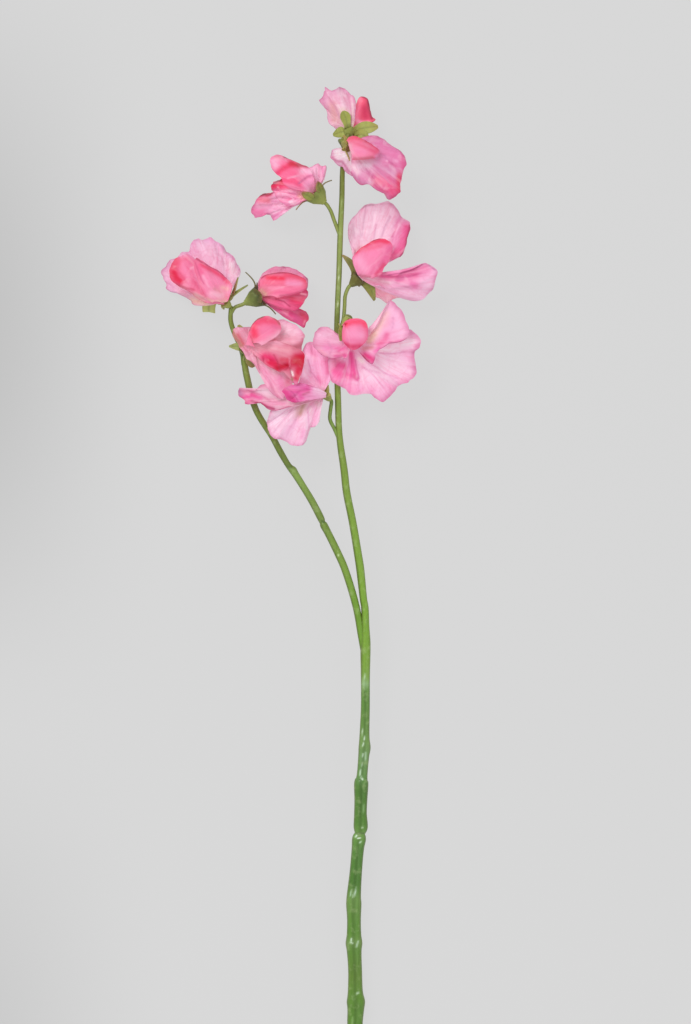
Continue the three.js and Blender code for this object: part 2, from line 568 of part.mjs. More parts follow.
    wing_right: {
      lift: 1.5, layer: -2.2, side: -0.6, bulge: 0.03, ruffle: 0.4, waves: 3,
      rim: [
        [-45.5, 131.5, 17], [-50, 131.25, 14.5], [-53.5, 132, 12], [-55.5, 134, 10], [-58.5, 136, 8],
        [-61.5, 137.75, 6], [-65, 138.5, 4.5], [-67, 140, 3], [-67.5, 142.75, 2], [-68.75, 145.25, 1],
        [-70, 147.75, 0.4], [-68.25, 150, 0.8], [-67, 152.5, 1.5], [-65, 154.75, 3], [-61, 155, 6],
      ],
    },
  },
  {
    stalk: [[-34.3, 127.6, 20], [-32.6, 130.2, 20.6]],
    calyx: {
      base: [-27.6, 132.3, 21.3], mouth: [-20.4, 135.8, 21.8], baseRadius: 1.7, mouthRadius: 5.2,
      sepals: [
        { tip: [-27.3, 147.9, 22], width: 3 },
        { tip: [-12.1, 126.8, 22], width: 3 },
        { tip: [-17.6, 137.5, 29.5], width: 5.5 },
        { tip: [-16, 132.5, 13], width: 5 },
        { tip: [-21.5, 142.5, 13.5], width: 5 },
      ],
    },
    standard: {
      layer: -2, bulge: 0.15, ruffle: 0.4, waves: 3,
      rim: [
        [-20.5, 141.5, 20], [-20.25, 144.25, 18.5], [-18.75, 147.25, 16.5], [-16, 149.25, 15],
        [-12.5, 150.5, 13.5], [-8.5, 151, 12], [-4.5, 150.5, 11], [-1, 148.75, 10], [2, 146.75, 9.5],
        [3.75, 143.5, 8.5], [3.75, 139, 8], [1.5, 134, 7.5],
      ],
    },
    keel: {
      layer: 2, bulge: 0.3,
      rim: [
        [-20.5, 141, 25.5], [-19.25, 145, 23.5], [-16.5, 146.75, 23], [-12.5, 147.5, 23], [-8, 147.75, 23],
        [-3.5, 147, 23.5], [0, 145.75, 24], [2.75, 143.75, 25], [3.75, 141, 27], [2, 138.5, 29],
        [-2, 136.75, 30.5], [-7, 136, 31], [-11.5, 135, 30.5],
      ],
    },
    wing_left: {
      layer: 0.7, bulge: 0.2,
      rim: [
        [0, 140.5, 23], [3.25, 139.5, 23.5], [3.75, 137, 24], [2.75, 134, 24], [0.75, 131, 24],
        [-1.5, 129.25, 24], [-5.5, 128.5, 24], [-9.5, 129.5, 23.5], [-13.5, 131.25, 23],
      ],
    },
    wing_right: {
      layer: -0.7, bulge: 0.1,
      rim: [
        [-2, 130, 18.5], [1, 129.25, 18], [3, 128.25, 18], [4.25, 125.5, 17.5], [3.5, 123, 17],
        [2.25, 120.5, 16.5], [-0.5, 121.5, 17], [-4.5, 123.75, 17], [-8.5, 126, 17.5], [-11.5, 129, 18],
      ],
    },
  },
  {
    stalk: [[-28.6, 104, 19], [-30.2, 106.2, 19.2]],
    calyx: {
      base: [-28.6, 108.6, 22.2], mouth: [-27, 109.6, 27], baseRadius: 1.5, mouthRadius: 3.1,
      sepals: [
        { tip: [-35.3, 110.8, 24], width: 4, flat: true },
        { tip: [-22.2, 101.8, 24], width: 4.6, flat: true },
        { tip: [-31.5, 121, 24.4], width: 3.4 },
        { tip: [-22.5, 116.5, 21.5], width: 3 },
        { tip: [-31.5, 105.5, 27], width: 3 },
      ],
    },
    standard: {
      lift: 0.9, layer: -0.4, side: 0.6, bulge: -0.02, ruffle: 0.4, waves: 4,
      rim: [
        [-17, 121.5, 27], [-10.5, 124, 26], [-7, 123.5, 25.5], [-3.5, 122.5, 25.5], [-0.5, 120, 26],
        [1.75, 117, 27], [2.25, 114, 27.5], [0.75, 110, 28], [0, 104, 28.5], [-1.5, 98, 29],
        [-3.5, 92, 29.5], [-6, 88, 30], [-8, 84.75, 30], [-10.5, 84.75, 30], [-13.5, 87, 29.5],
        [-16, 89.5, 29.5], [-17.5, 93, 29], [-20, 98, 28.5], [-21.75, 102, 28],
      ],
    },
    keel: {
      lift: 3.4, layer: -0.2, side: -0.9, bulge: 0.38,
      rim: [
        [-22, 110, 35], [-24.25, 114, 34], [-25.25, 118, 33], [-24, 121.25, 32], [-21.5, 124, 31],
        [-18.5, 125.5, 30.5], [-15.5, 125.75, 30], [-12.5, 124.5, 30], [-10, 122, 30.5], [-9.25, 119, 31.5],
        [-11, 116, 33], [-15, 113.5, 34.5], [-19, 111, 35.5],
      ],
    },
    wing_left: {
      lift: 2.1, layer: 1.4, bulge: 0.12, ruffle: 0.3, waves: 3,
      rim: [
        [-25, 120.5, 28], [-28, 120.25, 28.5], [-31, 120, 28.5], [-33.75, 119, 28], [-33.5, 116, 28.5],
        [-31, 112.5, 29], [-29.5, 109.25, 29.5], [-27.75, 106, 29.5], [-25, 103.5, 30],
        [-22, 100.75, 30.5], [-20, 97, 31],
      ],
    },
    wing_right: {
      lift: 2.5, layer: -1.4, side: 0.4, bulge: 0.05,
      rim: [
        [-19, 106, 33.5], [-18.25, 103, 34], [-15.5, 100.5, 34.5], [-12.5, 99.25, 35], [-10, 98, 35],
        [-7.5, 98.5, 35], [-5.5, 100.5, 35], [-4.75, 97, 35], [-3.75, 93.5, 35], [-2, 91.5, 34.5],
        [-0.25, 94.5, 34.5], [1.25, 99, 34.5], [2.25, 103.5, 34.5], [1.75, 107.5, 34.5], [-2, 109, 34.5],
        [-7, 109.5, 34],
      ],
    },
  },
];

const spray = new THREE.Group();

function place(name, geometry, look) {
  const mesh = new THREE.Mesh(geometry, look);
  mesh.name = name;
  spray.add(mesh);
}

const stalks = [slopedTube(SIDE_STALK, STALK_SIDES)];
for (const bloom of BLOOMS) stalks.push(flowerStalk(bloom.stalk, bloom.calyx));
let stem = solidOf(slopedTube(MAIN_STEM, STEM_SIDES));
for (const stalk of stalks) stem = stem.add(solidOf(stalk));
place("stem", geometryFrom(stem), MATERIALS.stem);

BLOOMS.forEach((bloom, i) => {
  const number = i + 1;
  const mouth = vector(bloom.calyx.mouth);
  const axis = mouth.clone().sub(vector(bloom.calyx.base)).normalize();
  const upward = new THREE.Vector3(0, 0, 1).addScaledVector(axis, -axis.z).normalize();
  const sideways = axis.clone().cross(upward);
  place(`calyx_${number}`, calyx(bloom.calyx), MATERIALS.calyx);
  for (const name of Object.keys(PETAL_ROWS).filter((key) => bloom[key])) {
    const shape = bloom[name];
    const { lift = CLAW_LIFT, layer = 0, side = 0 } = shape;
    const claw = shape.claw ? vector(shape.claw) : mouth.clone().addScaledVector(axis, lift);
    claw.addScaledVector(upward, layer).addScaledVector(sideways, side);
    const { surface, front } = petal({ ...shape, claw });
    const columns = shape.rim.length - 1;
    const blade = plate(surface, columns, PETAL_ROWS[name], PETAL_THICKNESS, front);
    place(`${name}_${number}`, geometryFrom(blade), MATERIALS[name]);
  }
});

export default spray;
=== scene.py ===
# An artificial sweet pea spray laid on a pale floor and seen from above. Metres, +Z up, +Y along
# the stem towards its tip. Lengths and places in the tables below are millimetres in the same frame,
# and colours are six hexadecimal digits as the screen shows them.
import math

import bpy
import numpy as np
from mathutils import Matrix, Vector


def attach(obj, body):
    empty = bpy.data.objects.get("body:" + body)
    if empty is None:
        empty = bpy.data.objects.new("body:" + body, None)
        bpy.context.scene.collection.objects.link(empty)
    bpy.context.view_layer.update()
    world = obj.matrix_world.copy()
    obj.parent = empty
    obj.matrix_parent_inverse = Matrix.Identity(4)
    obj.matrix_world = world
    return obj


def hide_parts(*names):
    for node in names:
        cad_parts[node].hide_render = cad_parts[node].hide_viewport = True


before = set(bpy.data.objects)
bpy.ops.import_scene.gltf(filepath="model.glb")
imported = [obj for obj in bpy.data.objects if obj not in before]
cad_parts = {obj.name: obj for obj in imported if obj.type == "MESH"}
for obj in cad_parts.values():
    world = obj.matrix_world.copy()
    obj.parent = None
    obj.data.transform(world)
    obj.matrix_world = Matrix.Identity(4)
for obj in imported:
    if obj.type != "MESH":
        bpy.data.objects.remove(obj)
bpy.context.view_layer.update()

MM = 0.001

# Framing and light. A lamp is its name, size, power and place, in metres.
PHOTO_HEIGHT_MM = 512.0
PHOTO_CENTRE = (22.75, 28.0)
LENS_DISTANCE = 6.0
MIDDLE_HEIGHT = 0.02
SENSOR = 24.0
SKY_STRENGTH = 0.7
LAMPS = (("key", 1.3, 27.5, (-0.95, 1.15, 1.8)), ("fill", 1.6, 6, (1.4, -0.6, 1.6)))
LAMP_TARGET = (0, 0.1, 0)
FLOOR_REACH = 3000
FLOOR_DROP = 0.3

# Shape of the petals. Waves are pairs of frequency and height.
PETAL_SLOTS = {
    "standard": "petal_pale",
    "wing_left": "petal_pink",
    "wing_right": "petal_pink",
    "keel": "petal_deep",
}
PETAL_THICKNESS = 0.34
PETAL_ROWS = 48
COLUMNS_PER_POINT = 8
CLAW_WIDTH = 2.4
CLAW_LIFT = 1.0
CALM_OFFSETS = (-0.12, -0.06, 0, 0.06, 0.12)
RIM_GRIP = 3
FLARE = 0.2
FLOOR_CLEARANCE = 0.4
ROOT_STIFFNESS = 2.0
PLEATS = ((1.3, 0.6), (2.3, 0.5), (4.1, 0.34), (6.7, 0.2))
CREASES = ((1.3, 0.35), (2.3, 0.25))
FRILLS = ((0.3, 0.5), (0.51, 0.3))
FRILLS_FROM = 0.6
RAGS = ((0.31, 0.35), (0.53, 0.28), (0.97, 0.14))
RAGS_SEED = 500
FOLDS_FROM = 1 / 3
CRUMPLE = {"standard": 0.75, "wing": 0.65, "keel": 0.3}
UV_UNIT = 10

# Colours of the petals
PETAL_SHADE = np.array([0.9, 0.97, 0.94])
PAINT_SEED = 900
BLADE_FROM = 0.5
BLADE_CURVE = 0.8
RIM_FROM = 0.8
RIM_CURVE = 1.2
RIM_LINE = 0.55
RIM_LINE_FROM = 0.95
RIM_LINE_BREAKS = (3.3, 0.25)
RIM_TONE = np.array([0.8, 0.58, 0.68])

# Calyces. The midrib and the edge of a sepal are a strength and a place across it.
SEPALS = 5
CUP_SIDES = 40
CUP_DEPTH = 1.4
CUP_POLE = 0.02
CUP_SHOULDER = (0.8, 0.55)
CUP_INSIDE = 0.72
CUP_RIBS = 0.06
CUP_SHARP = 50
SEPAL_COLUMNS = 16
SEPAL_ROWS = 24
SEPAL_ROOT = (0.86, 1.2)
SEPAL_THICKNESS = 0.5
SEPAL_SPREAD = 0.1
SEPAL_OUTLINE = (0.2, 0.75, 0.8)
SEPAL_HOLLOW = 0.125
SEPAL_LEAN = 0.4
SEPAL_BLADE_FROM = 0.45
SEPAL_TIP_FROM = 0.75
SEPAL_EDGE = (0.55, 0.72)
MIDRIB = (0.14, 0.15)

# Stem. The core, the painted shade on one side and the painted shade along both edges are places
# across it, followed by a strength.
STEM_RISE = 0.0445
CUT_END = (-240.5, 3.62)
STALK_RADIUS = 0.95
STALK_LEAD = 1.4
SOCKET_REACH = 0.85
SHEATH_CLEARANCE = 0.02
STEM_SIDES = 36
STEM_STEPS = 8
STALK_STEPS = 10
STEM_SHADE = np.array([0.99, 0.98, 0.84])
LOWER_STEM = (-45, -65)
CORE = (-0.05, 0.28, 0.16)
SHADED_SIDE = ("4c5a2c", 0.35, 0.75, 0.45)
EDGE_SHADE = ("6c6a44", 0.7, 1, 0.5)

# Stations along the stem: x, y and diameter, from the cut end up.
MAIN_STEM = [
    (27.6, -240.49, 7.2), (27.5, -228, 7.2), (27.9, -221, 7.9), (27.95, -217.5, 8.7),
    (27.7, -213, 7.2), (27.55, -201.5, 6.6), (27.1, -192, 7.2), (27, -188, 8.2), (27, -184, 7.2),
    (27, -176.5, 6.8), (26.9, -168, 7.5), (26.9, -165, 7), (28, -151.5, 5.8), (29, -140, 5.9),
    (29.5, -136, 6.6), (29.8, -134, 5.9), (29.95, -133, 4.9), (30.1, -132, 5.7), (30.35, -130, 6.7),
    (30.25, -123, 6), (30.45, -116, 6.1), (30.65, -107.8, 6.7), (30.75, -106.4, 6.2),
    (30.9, -105.5, 5.3), (31.9, -94, 5), (32.3, -90.2, 5.5), (32.25, -85, 4.5), (32.7, -69.5, 4.4),
    (32.7, -54.2, 4.5), (32.75, -37.5, 4.9), (32.7, -30, 3.9), (32.4, -19.5, 3.4), (31.8, -16, 3.3),
    (30.05, 0, 3.4), (28.9, 7.5, 3.2), (26.3, 23, 3.1), (23.3, 38, 3.1), (22.05, 49, 3),
    (19.7, 66, 3), (19, 84, 2.9), (18.5, 103, 2.7), (18.35, 117.5, 2.5), (18.9, 134, 2.6),
    (19.5, 147, 2.7), (20.15, 167.5, 2.9), (20.95, 185, 2.7), (21.2, 198, 2.5), (21.7, 206, 2.2),
]
SIDE_STALK = [
    (32.2, -44, 2.6), (30.6, -34, 2.9), (28.1, -19.5, 3), (22.2, 0, 3), (18.9, 7.5, 3), (14, 17.5, 2.9),
    (11.7, 21.8, 3), (11.2, 22.8, 2.2), (10.7, 24.2, 2.7), (6.2, 33, 2.8), (2.5, 39.2, 2.7),
    (-2.4, 47, 2.9), (-3.6, 48.9, 3.2), (-5.3, 50.6, 2.4), (-10, 58.4, 2.7), (-13.4, 64.8, 2.7),
    (-22.2, 79.5, 2.8), (-26.65, 96, 3), (-29, 108.5, 2.5), (-33.4, 119, 2.3), (-34.7, 124, 2.2),
    (-34.5, 129.6, 2.1),
]

# How deep the plastic sheath lies over the stations, by height along the spray
MAIN_SHEATH = [
    (-240, 0.35), (-210, 0.25), (-180, 0.05), (-150, 0.2), (-120, 0.2), (-90, 0.3), (-80, 0.35),
    (-70, 0.05), (-45, 0.05), (-16, 0.22), (5, 0.4), (50, 0.35), (60, 0.15), (110, 0.15),
    (140, 0.1), (165, 0), (240, 0),
]
SIDE_SHEATH = [(-45, 0.2), (-10, 0.35), (50, 0.4), (60, 0.25), (130, 0.1)]

# Colours of the stem by height along the spray, and its dark marks and glints, written like the
# tints of the petals below. The glints, and some paler tones at the rings as at -166 and -58, are
# painted highlights.
MAIN_TONES = [
    (-240, "527f2e"), (-222, "5d8a38"), (-213, "5f8a38"), (-205, "64883a"), (-192, "5f8b3c"),
    (-188, "72965a"), (-182, "5a8a36"), (-166, "6c9452"), (-158, "4a7a30"), (-142, "55833e"),
    (-133, "6f9a56"), (-128, "548238"), (-112, "4f7c36"), (-106, "5f8c50"), (-95, "6f9668"),
    (-86, "6f9558"), (-75, "5f8944"), (-62, "5f8c44"), (-58, "86ad7c"), (-54, "7ca250"),
    (-45, "78a03e"), (-20, "78a23c"), (20, "7a9c42"), (60, "7a9444"), (90, "80984c"),
    (115, "8c9c60"), (130, "82945a"), (150, "889660"), (167, "8c9c5c"), (180, "7d8c4e"),
    (190, "737f38"), (206, "6e7634"),
]
SIDE_TONES = [
    (-44, "6c9834"), (-20, "6f9838"), (0, "789846"), (22, "748e48"), (24, "6e8644"), (46, "809c58"),
    (49, "7c9656"), (51, "66783c"), (66, "6e8040"), (90, "7c8c46"), (115, "7f8f4c"), (130, "78863f"),
]
TWIG_TONES = [(60, "7c9a52"), (105, "74904a"), (130, "8a965a"), (165, "8a9658"), (215, "7c8446")]
STEM_TINTS = [
    ("dcefe0", 0.6, 0.5, [(32.4, -54.2), (32.5, -55.5)]),
    ("c8dfc8", 0.3, 1.3, [(31.8, -57), (32.4, -59)]),
    ("e4f2e4", 0.75, 0.35, [(31.2, -81.8), (31.1, -83.2)]),
    ("e4f4ea", 0.8, 0.35, [(32.2, -84.5), (32.1, -86)]),
    ("e4f4ea", 0.8, 0.35, [(31.8, -87.6), (31.4, -89)]),
    ("cfe6d6", 0.5, 0.5, [(32.8, -92.5), (32.8, -96)]),
    ("dff0e6", 0.65, 0.35, [(31.4, -93), (31.3, -94.6)]),
    ("dff0e6", 0.5, 0.35, [(31.1, -97.5), (30.9, -99)]),
    ("e4f4ea", 0.75, 0.4, [(30.2, -101.4), (30, -103.4)]),
    ("e8f6ee", 0.85, 0.4, [(30.6, -105), (31.3, -106)]),
    ("bcd6b8", 0.4, 0.5, [(31.9, -118.5), (31.8, -122)]),
    ("eef8f0", 0.9, 0.45, [(31.2, -130)]),
    ("e4f4ea", 0.85, 0.4, [(28.3, -133.9), (27.8, -134.7)]),
    ("ecf6f0", 0.85, 0.4, [(28.9, -135.4), (30.1, -135.2)]),
    ("dcefe2", 0.8, 0.4, [(30.4, -137), (30, -137.6)]),
    ("dff2ea", 0.8, 0.5, [(27.8, -161.2), (27.4, -163.6)]),
    ("cfe6d8", 0.65, 0.4, [(25.6, -161.6), (25.3, -163.8)]),
    ("d6eada", 0.6, 0.4, [(26.6, -163.6), (26.5, -165)]),
    ("dcefe0", 0.75, 0.4, [(25.7, -185.7), (25.3, -187.6), (26.2, -188)]),
    ("d0e6da", 0.65, 0.45, [(29.1, -187), (28.2, -189.8)]),
    ("dcf0e2", 0.75, 0.4, [(28.4, -213.4), (29.6, -212.7)]),
    ("b4d09c", 0.4, 0.6, [(26.3, -225.5), (26.2, -228)]),
    ("dfeccf", 0.6, 0.35, [(20.8, 182.6), (20.7, 181.2)]),
    ("dfeccf", 0.6, 0.35, [(20.3, 169.2), (20.2, 168)]),
    ("e6f0da", 0.7, 0.32, [(19.4, 151), (19.3, 149.6)]),
    ("e6f0da", 0.7, 0.32, [(19.5, 146.4), (19.4, 144.9)]),
    ("e6f0da", 0.6, 0.3, [(19.2, 143.2), (19.2, 142.6)]),
    ("e6f0da", 0.7, 0.32, [(18.9, 132.2), (18.9, 130.6)]),
    ("dcecc4", 0.7, 0.5, [(19.2, 6.4)]),
    # A dark olive strip of painted shade along the left edge of the upper stem
    ("5c6424", 0.55, 0.7, [(18.1, 126), (18.1, 117)]),
    ("3f5a2a", 0.6, 0.6, [(11, 23.4), (12, 22.8)]),
    ("46602e", 0.5, 0.6, [(-6, 50.6), (-4.4, 50.6)]),
    ("3f5c2a", 0.6, 0.5, [(28.4, -132.9), (31.6, -132.9)]),
    # Another strip of painted shade along the left edge of the upper stem
    ("5a5a30", 0.5, 0.7, [(20, 196), (20.2, 186)]),
]

# Colours of the calyces: cup from foot to mouth, each sepal from root to tip, and the edges of the
# sepals. Where a calyx has more sepals than colours, the last ones serve for the rest.
LEAVES = {
    "calyx_1": {
        "cup": ("727c38", "7c8642"), "edge": "8f9c58",
        "sepals": [("62682e", "8a9448", "8f9a50"), ("838a44", "9aa660", "8f8a4c"),
                   ("7c8440", "98a45a", "8a9450"), ("858e48", "a3ae66", "98a25c"),
                   ("70763a", "8a9450", "8a9450")],
    },
    "calyx_2": {
        "cup": ("928e4c", "887e44"), "edge": "947a4c",
        "sepals": [("827c3e", "908a48", "988452")],
    },
    "calyx_3": {
        "cup": ("8c9a54", "6a7a38"), "edge": "8a6448",
        "sepals": [("6a7438", "5c643c", "4a523c"), ("747e42", "807a50", "6c6450"),
                   ("6c7c38", "80823f", "8c5c44"), ("74843c", "8a944a", "94684a"),
                   ("5c6830", "6a7438", "6a7438")],
    },
    "calyx_4": {
        "cup": ("6a6c34", "56541f"), "edge": "84684a",
        "sepals": [("5a5a24", "6c7038", "8a7a58"), ("5e5c26", "77803c", "7c8048"),
                   ("565424", "6c6a30", "6c6a30")],
    },
    "calyx_5": {
        "cup": ("98a458", "8c9848"), "edge": "98905a",
        "sepals": [("8a9448", "94a050", "8c8c4a"), ("8c9450", "98a058", "98a058"),
                   ("8c9450", "98a25c", "a0a864"), ("848a46", "98a05a", "8f7a48")],
    },
    "calyx_6": {
        "cup": ("9aa466", "949a56"), "edge": "9c9870",
        "sepals": [("9ca068", "b0b488", "b8b898"), ("8c9450", "9aa464", "9aa464")],
    },
    "calyx_7": {
        "cup": ("9aac60", "949e54"), "edge": "a0a068",
        "sepals": [("8a8048", "8a6a4c", "787050"), ("909c50", "8a9a5a", "6c7a5c"),
                   ("a6b46c", "b4c07c", "b0bc80"), ("98a45c", "a6b068", "a6b068")],
    },
    "calyx_8": {
        "cup": ("8ca05c", "3a4418"), "edge": "6a5a34",
        "sepals": [("404a1c", "5c6440", "4c5450"), ("4c5422", "565830", "4c4c3c"),
                   ("3c4418", "4c4c20", "6c5428"), ("4a4c1e", "5a5026", "6c5a30")],
    },
    "calyx_9": {
        "cup": ("788042", "727a3e"), "edge": "94885a",
        "sepals": [("76824a", "86925c", "88945f"), ("7c7a40", "86884e", "96805a"),
                   ("76803c", "808a48", "8c8450"), ("7a8044", "8a9250", "8a9250")],
    },
}

# The calyx of each bloom: its own stalk, the centres and radii of its base and mouth, and its sepals,
# each with:
# tip and width: where it ends and how wide it is
# flat: it lies level across its length
# side: the direction across it, where neither of the plain ones will do
# late: how much nearer to the tip it is widest
# run: how far its outline closes at the tip
# lean or knee: how far it starts out along the calyx, or the point that it bends towards
CALYCES = [
    # Bloom 1: at the tip of the spray, its back to the viewer
    {
        "stalk": [(21.6, 204.5, 23.4), (22.4, 210, 24.2), (23.4, 214.2, 26)],
        "base": (24, 216.2, 25.6), "mouth": (24.9, 218.4, 21.9), "base_radius": 1.6, "mouth_radius": 2.9,
        "sepals": [
            {"tip": (21.6, 228.4, 23), "width": 5.2, "flat": True, "late": 3},
            {"tip": (39, 220.6, 22), "width": 6.4, "flat": True, "late": 1.8},
            {"tip": (34.4, 214.8, 23), "width": 5.4, "flat": True, "late": 2},
            {"tip": (16.6, 216.4, 23), "width": 5.4, "flat": True, "late": 1.5},
            {"tip": (20.6, 211.6, 23.6), "width": 4, "flat": True},
        ],
    },
    # Bloom 2: hanging under the first
    {
        "stalk": [(21.8, 205.5, 23.6), (21.6, 210.4, 24.6), (19.9, 213.4, 28)],
        "base": (21.5, 212.5, 31), "mouth": (24.6, 209.8, 33.6), "base_radius": 1.5, "mouth_radius": 2.7,
        "sepals": [
            {"tip": (21.8, 215.8, 35), "width": 3},
            {"tip": (24.8, 203.2, 36.4), "width": 2},
            {"tip": (28.6, 210.4, 29.6), "width": 2.4},
            {"tip": (26.6, 213.6, 27.5), "width": 2.6},
            {"tip": (20.8, 208.8, 34), "width": 2.4},
        ],
    },
    # Bloom 3: upper left, seen from the side
    {
        "stalk": [(19.6, 167, 21.8), (17, 174, 21.9), (15.3, 178.6, 21.9), (13.6, 181.4, 21.8)],
        "base": (12.5, 182.5, 21.8), "mouth": (7.4, 187.4, 21.8), "base_radius": 1.8, "mouth_radius": 5.6,
        "sepals": [
            {"tip": (16, 193.8, 22), "width": 2.6},
            {"tip": (-2, 179, 21.4), "width": 1.8},
            {"tip": (8.8, 192.8, 28.5), "width": 5},
            {"tip": (1, 187.4, 28.5), "width": 5},
            {"tip": (3, 188, 13.5), "width": 5},
        ],
    },
    # Bloom 4: upper right, wide open
    {
        "stalk": [(19, 116.5, 19.6), (21.6, 124, 19.8), (22.3, 131, 20.2), (22.6, 136, 20.4)],
        "base": (25.3, 141.3, 20.8), "mouth": (29.4, 145.2, 21.6), "base_radius": 1.6,
        "mouth_radius": 3.7,
        "sepals": [
            {"tip": (21.2, 156.4, 23), "width": 3.6, "flat": True, "late": 1.3},
            {"tip": (37.3, 133.8, 19), "width": 5.2, "flat": True, "late": 1.3},
            {"tip": (34.4, 140.6, 17.5), "width": 3},
            {"tip": (29.4, 141, 13), "width": 3.4},
            {"tip": (29, 152, 14), "width": 3.4},
        ],
    },
    # Bloom 5: lower right, wide open
    {
        "stalk": [(18.6, 101, 19), (21.5, 109, 19.6), (24.6, 118, 20), (25.3, 125, 20.4)],
        "base": (23.2, 124.9, 24.8), "mouth": (24.4, 120.6, 29.8), "base_radius": 1.6,
        "mouth_radius": 3.6,
        "sepals": [
            {"tip": (20.2, 113.4, 36.4), "width": 3.8, "flat": True},
            {"tip": (30, 121.5, 24), "width": 3.4},
            {"tip": (19.4, 122, 25.5), "width": 3},
            {"tip": (24.4, 124.6, 34), "width": 3},
            {"tip": (26, 114.5, 23), "width": 3},
        ],
    },
    # Bloom 6: the lowest, in the middle
    {
        "stalk": [(19.4, 64.6, 17.2), (17.3, 69.4, 17.6), (15, 74.4, 17.9), (15.3, 79.5, 18.6)],
        "base": (14.9, 84.2, 19.4), "mouth": (12, 87.4, 22.4), "base_radius": 1.5, "mouth_radius": 2.6,
        "sepals": [
            {"tip": (9.8, 81.6, 20.6), "width": 3, "flat": True},
            {"tip": (14, 91.6, 22), "width": 3},
            {"tip": (8.5, 91.5, 17), "width": 3},
            {"tip": (5.5, 86, 18.5), "width": 3},
            {"tip": (15.4, 86.2, 26.4), "width": 2.6},
        ],
    },
    # Bloom 7: far left
    {
        "stalk": [(-34.5, 126.5, 19.9), (-34.6, 129.2, 20.2)],
        "base": (-35.2, 130.8, 21), "mouth": (-37.6, 132.8, 23.2), "base_radius": 1.5,
        "mouth_radius": 2.7,
        "sepals": [
            {"tip": (-30.9, 145.2, 25.2), "width": 2.6, "lean": -0.1},
            {"tip": (-26, 141.4, 23), "width": 2.4, "lean": 0.15},
            {
                "tip": (-45.6, 128.2, 11), "width": 6.6, "side": (1, -0.1, 0), "knee": (-46.5, 137, 14),
                "run": 0.4,
            },
            {"tip": (-38, 129.5, 17.5), "width": 3},
            {"tip": (-40.5, 139, 18), "width": 3},
        ],
    },
    # Bloom 8: between the far left and the main stalk, half closed
    {
        "stalk": [(-34.3, 127.6, 20), (-32.6, 130.2, 20.6)],
        "base": (-27.6, 132.3, 21.3), "mouth": (-20.4, 135.8, 21.8), "base_radius": 1.7,
        "mouth_radius": 5.2,
        "sepals": [
            {"tip": (-27.3, 147.9, 22), "width": 3},
            {"tip": (-12.1, 126.8, 22), "width": 3},
            {"tip": (-19.4, 136.8, 28.5), "width": 7.5},
            {"tip": (-16, 132.5, 13), "width": 5},
            {"tip": (-21.5, 142.5, 13.5), "width": 5},
        ],
    },
    # Bloom 9: under the eighth
    {
        "stalk": [(-28.4, 101.5, 18.9), (-28.8, 105.4, 19.4)],
        "base": (-28.6, 108.6, 22.2), "mouth": (-27, 109.6, 27), "base_radius": 1.5, "mouth_radius": 3.1,
        "sepals": [
            {"tip": (-35.3, 110.8, 24), "width": 4, "flat": True},
            {"tip": (-23.4, 100.4, 22.6), "width": 6, "flat": True, "late": 2.5},
            {"tip": (-30.6, 121.4, 24.4), "width": 5, "flat": True, "late": 2},
            {"tip": (-22.5, 116.5, 21.5), "width": 3},
            {"tip": (-28, 103.6, 23), "width": 2.4},
        ],
    },
]
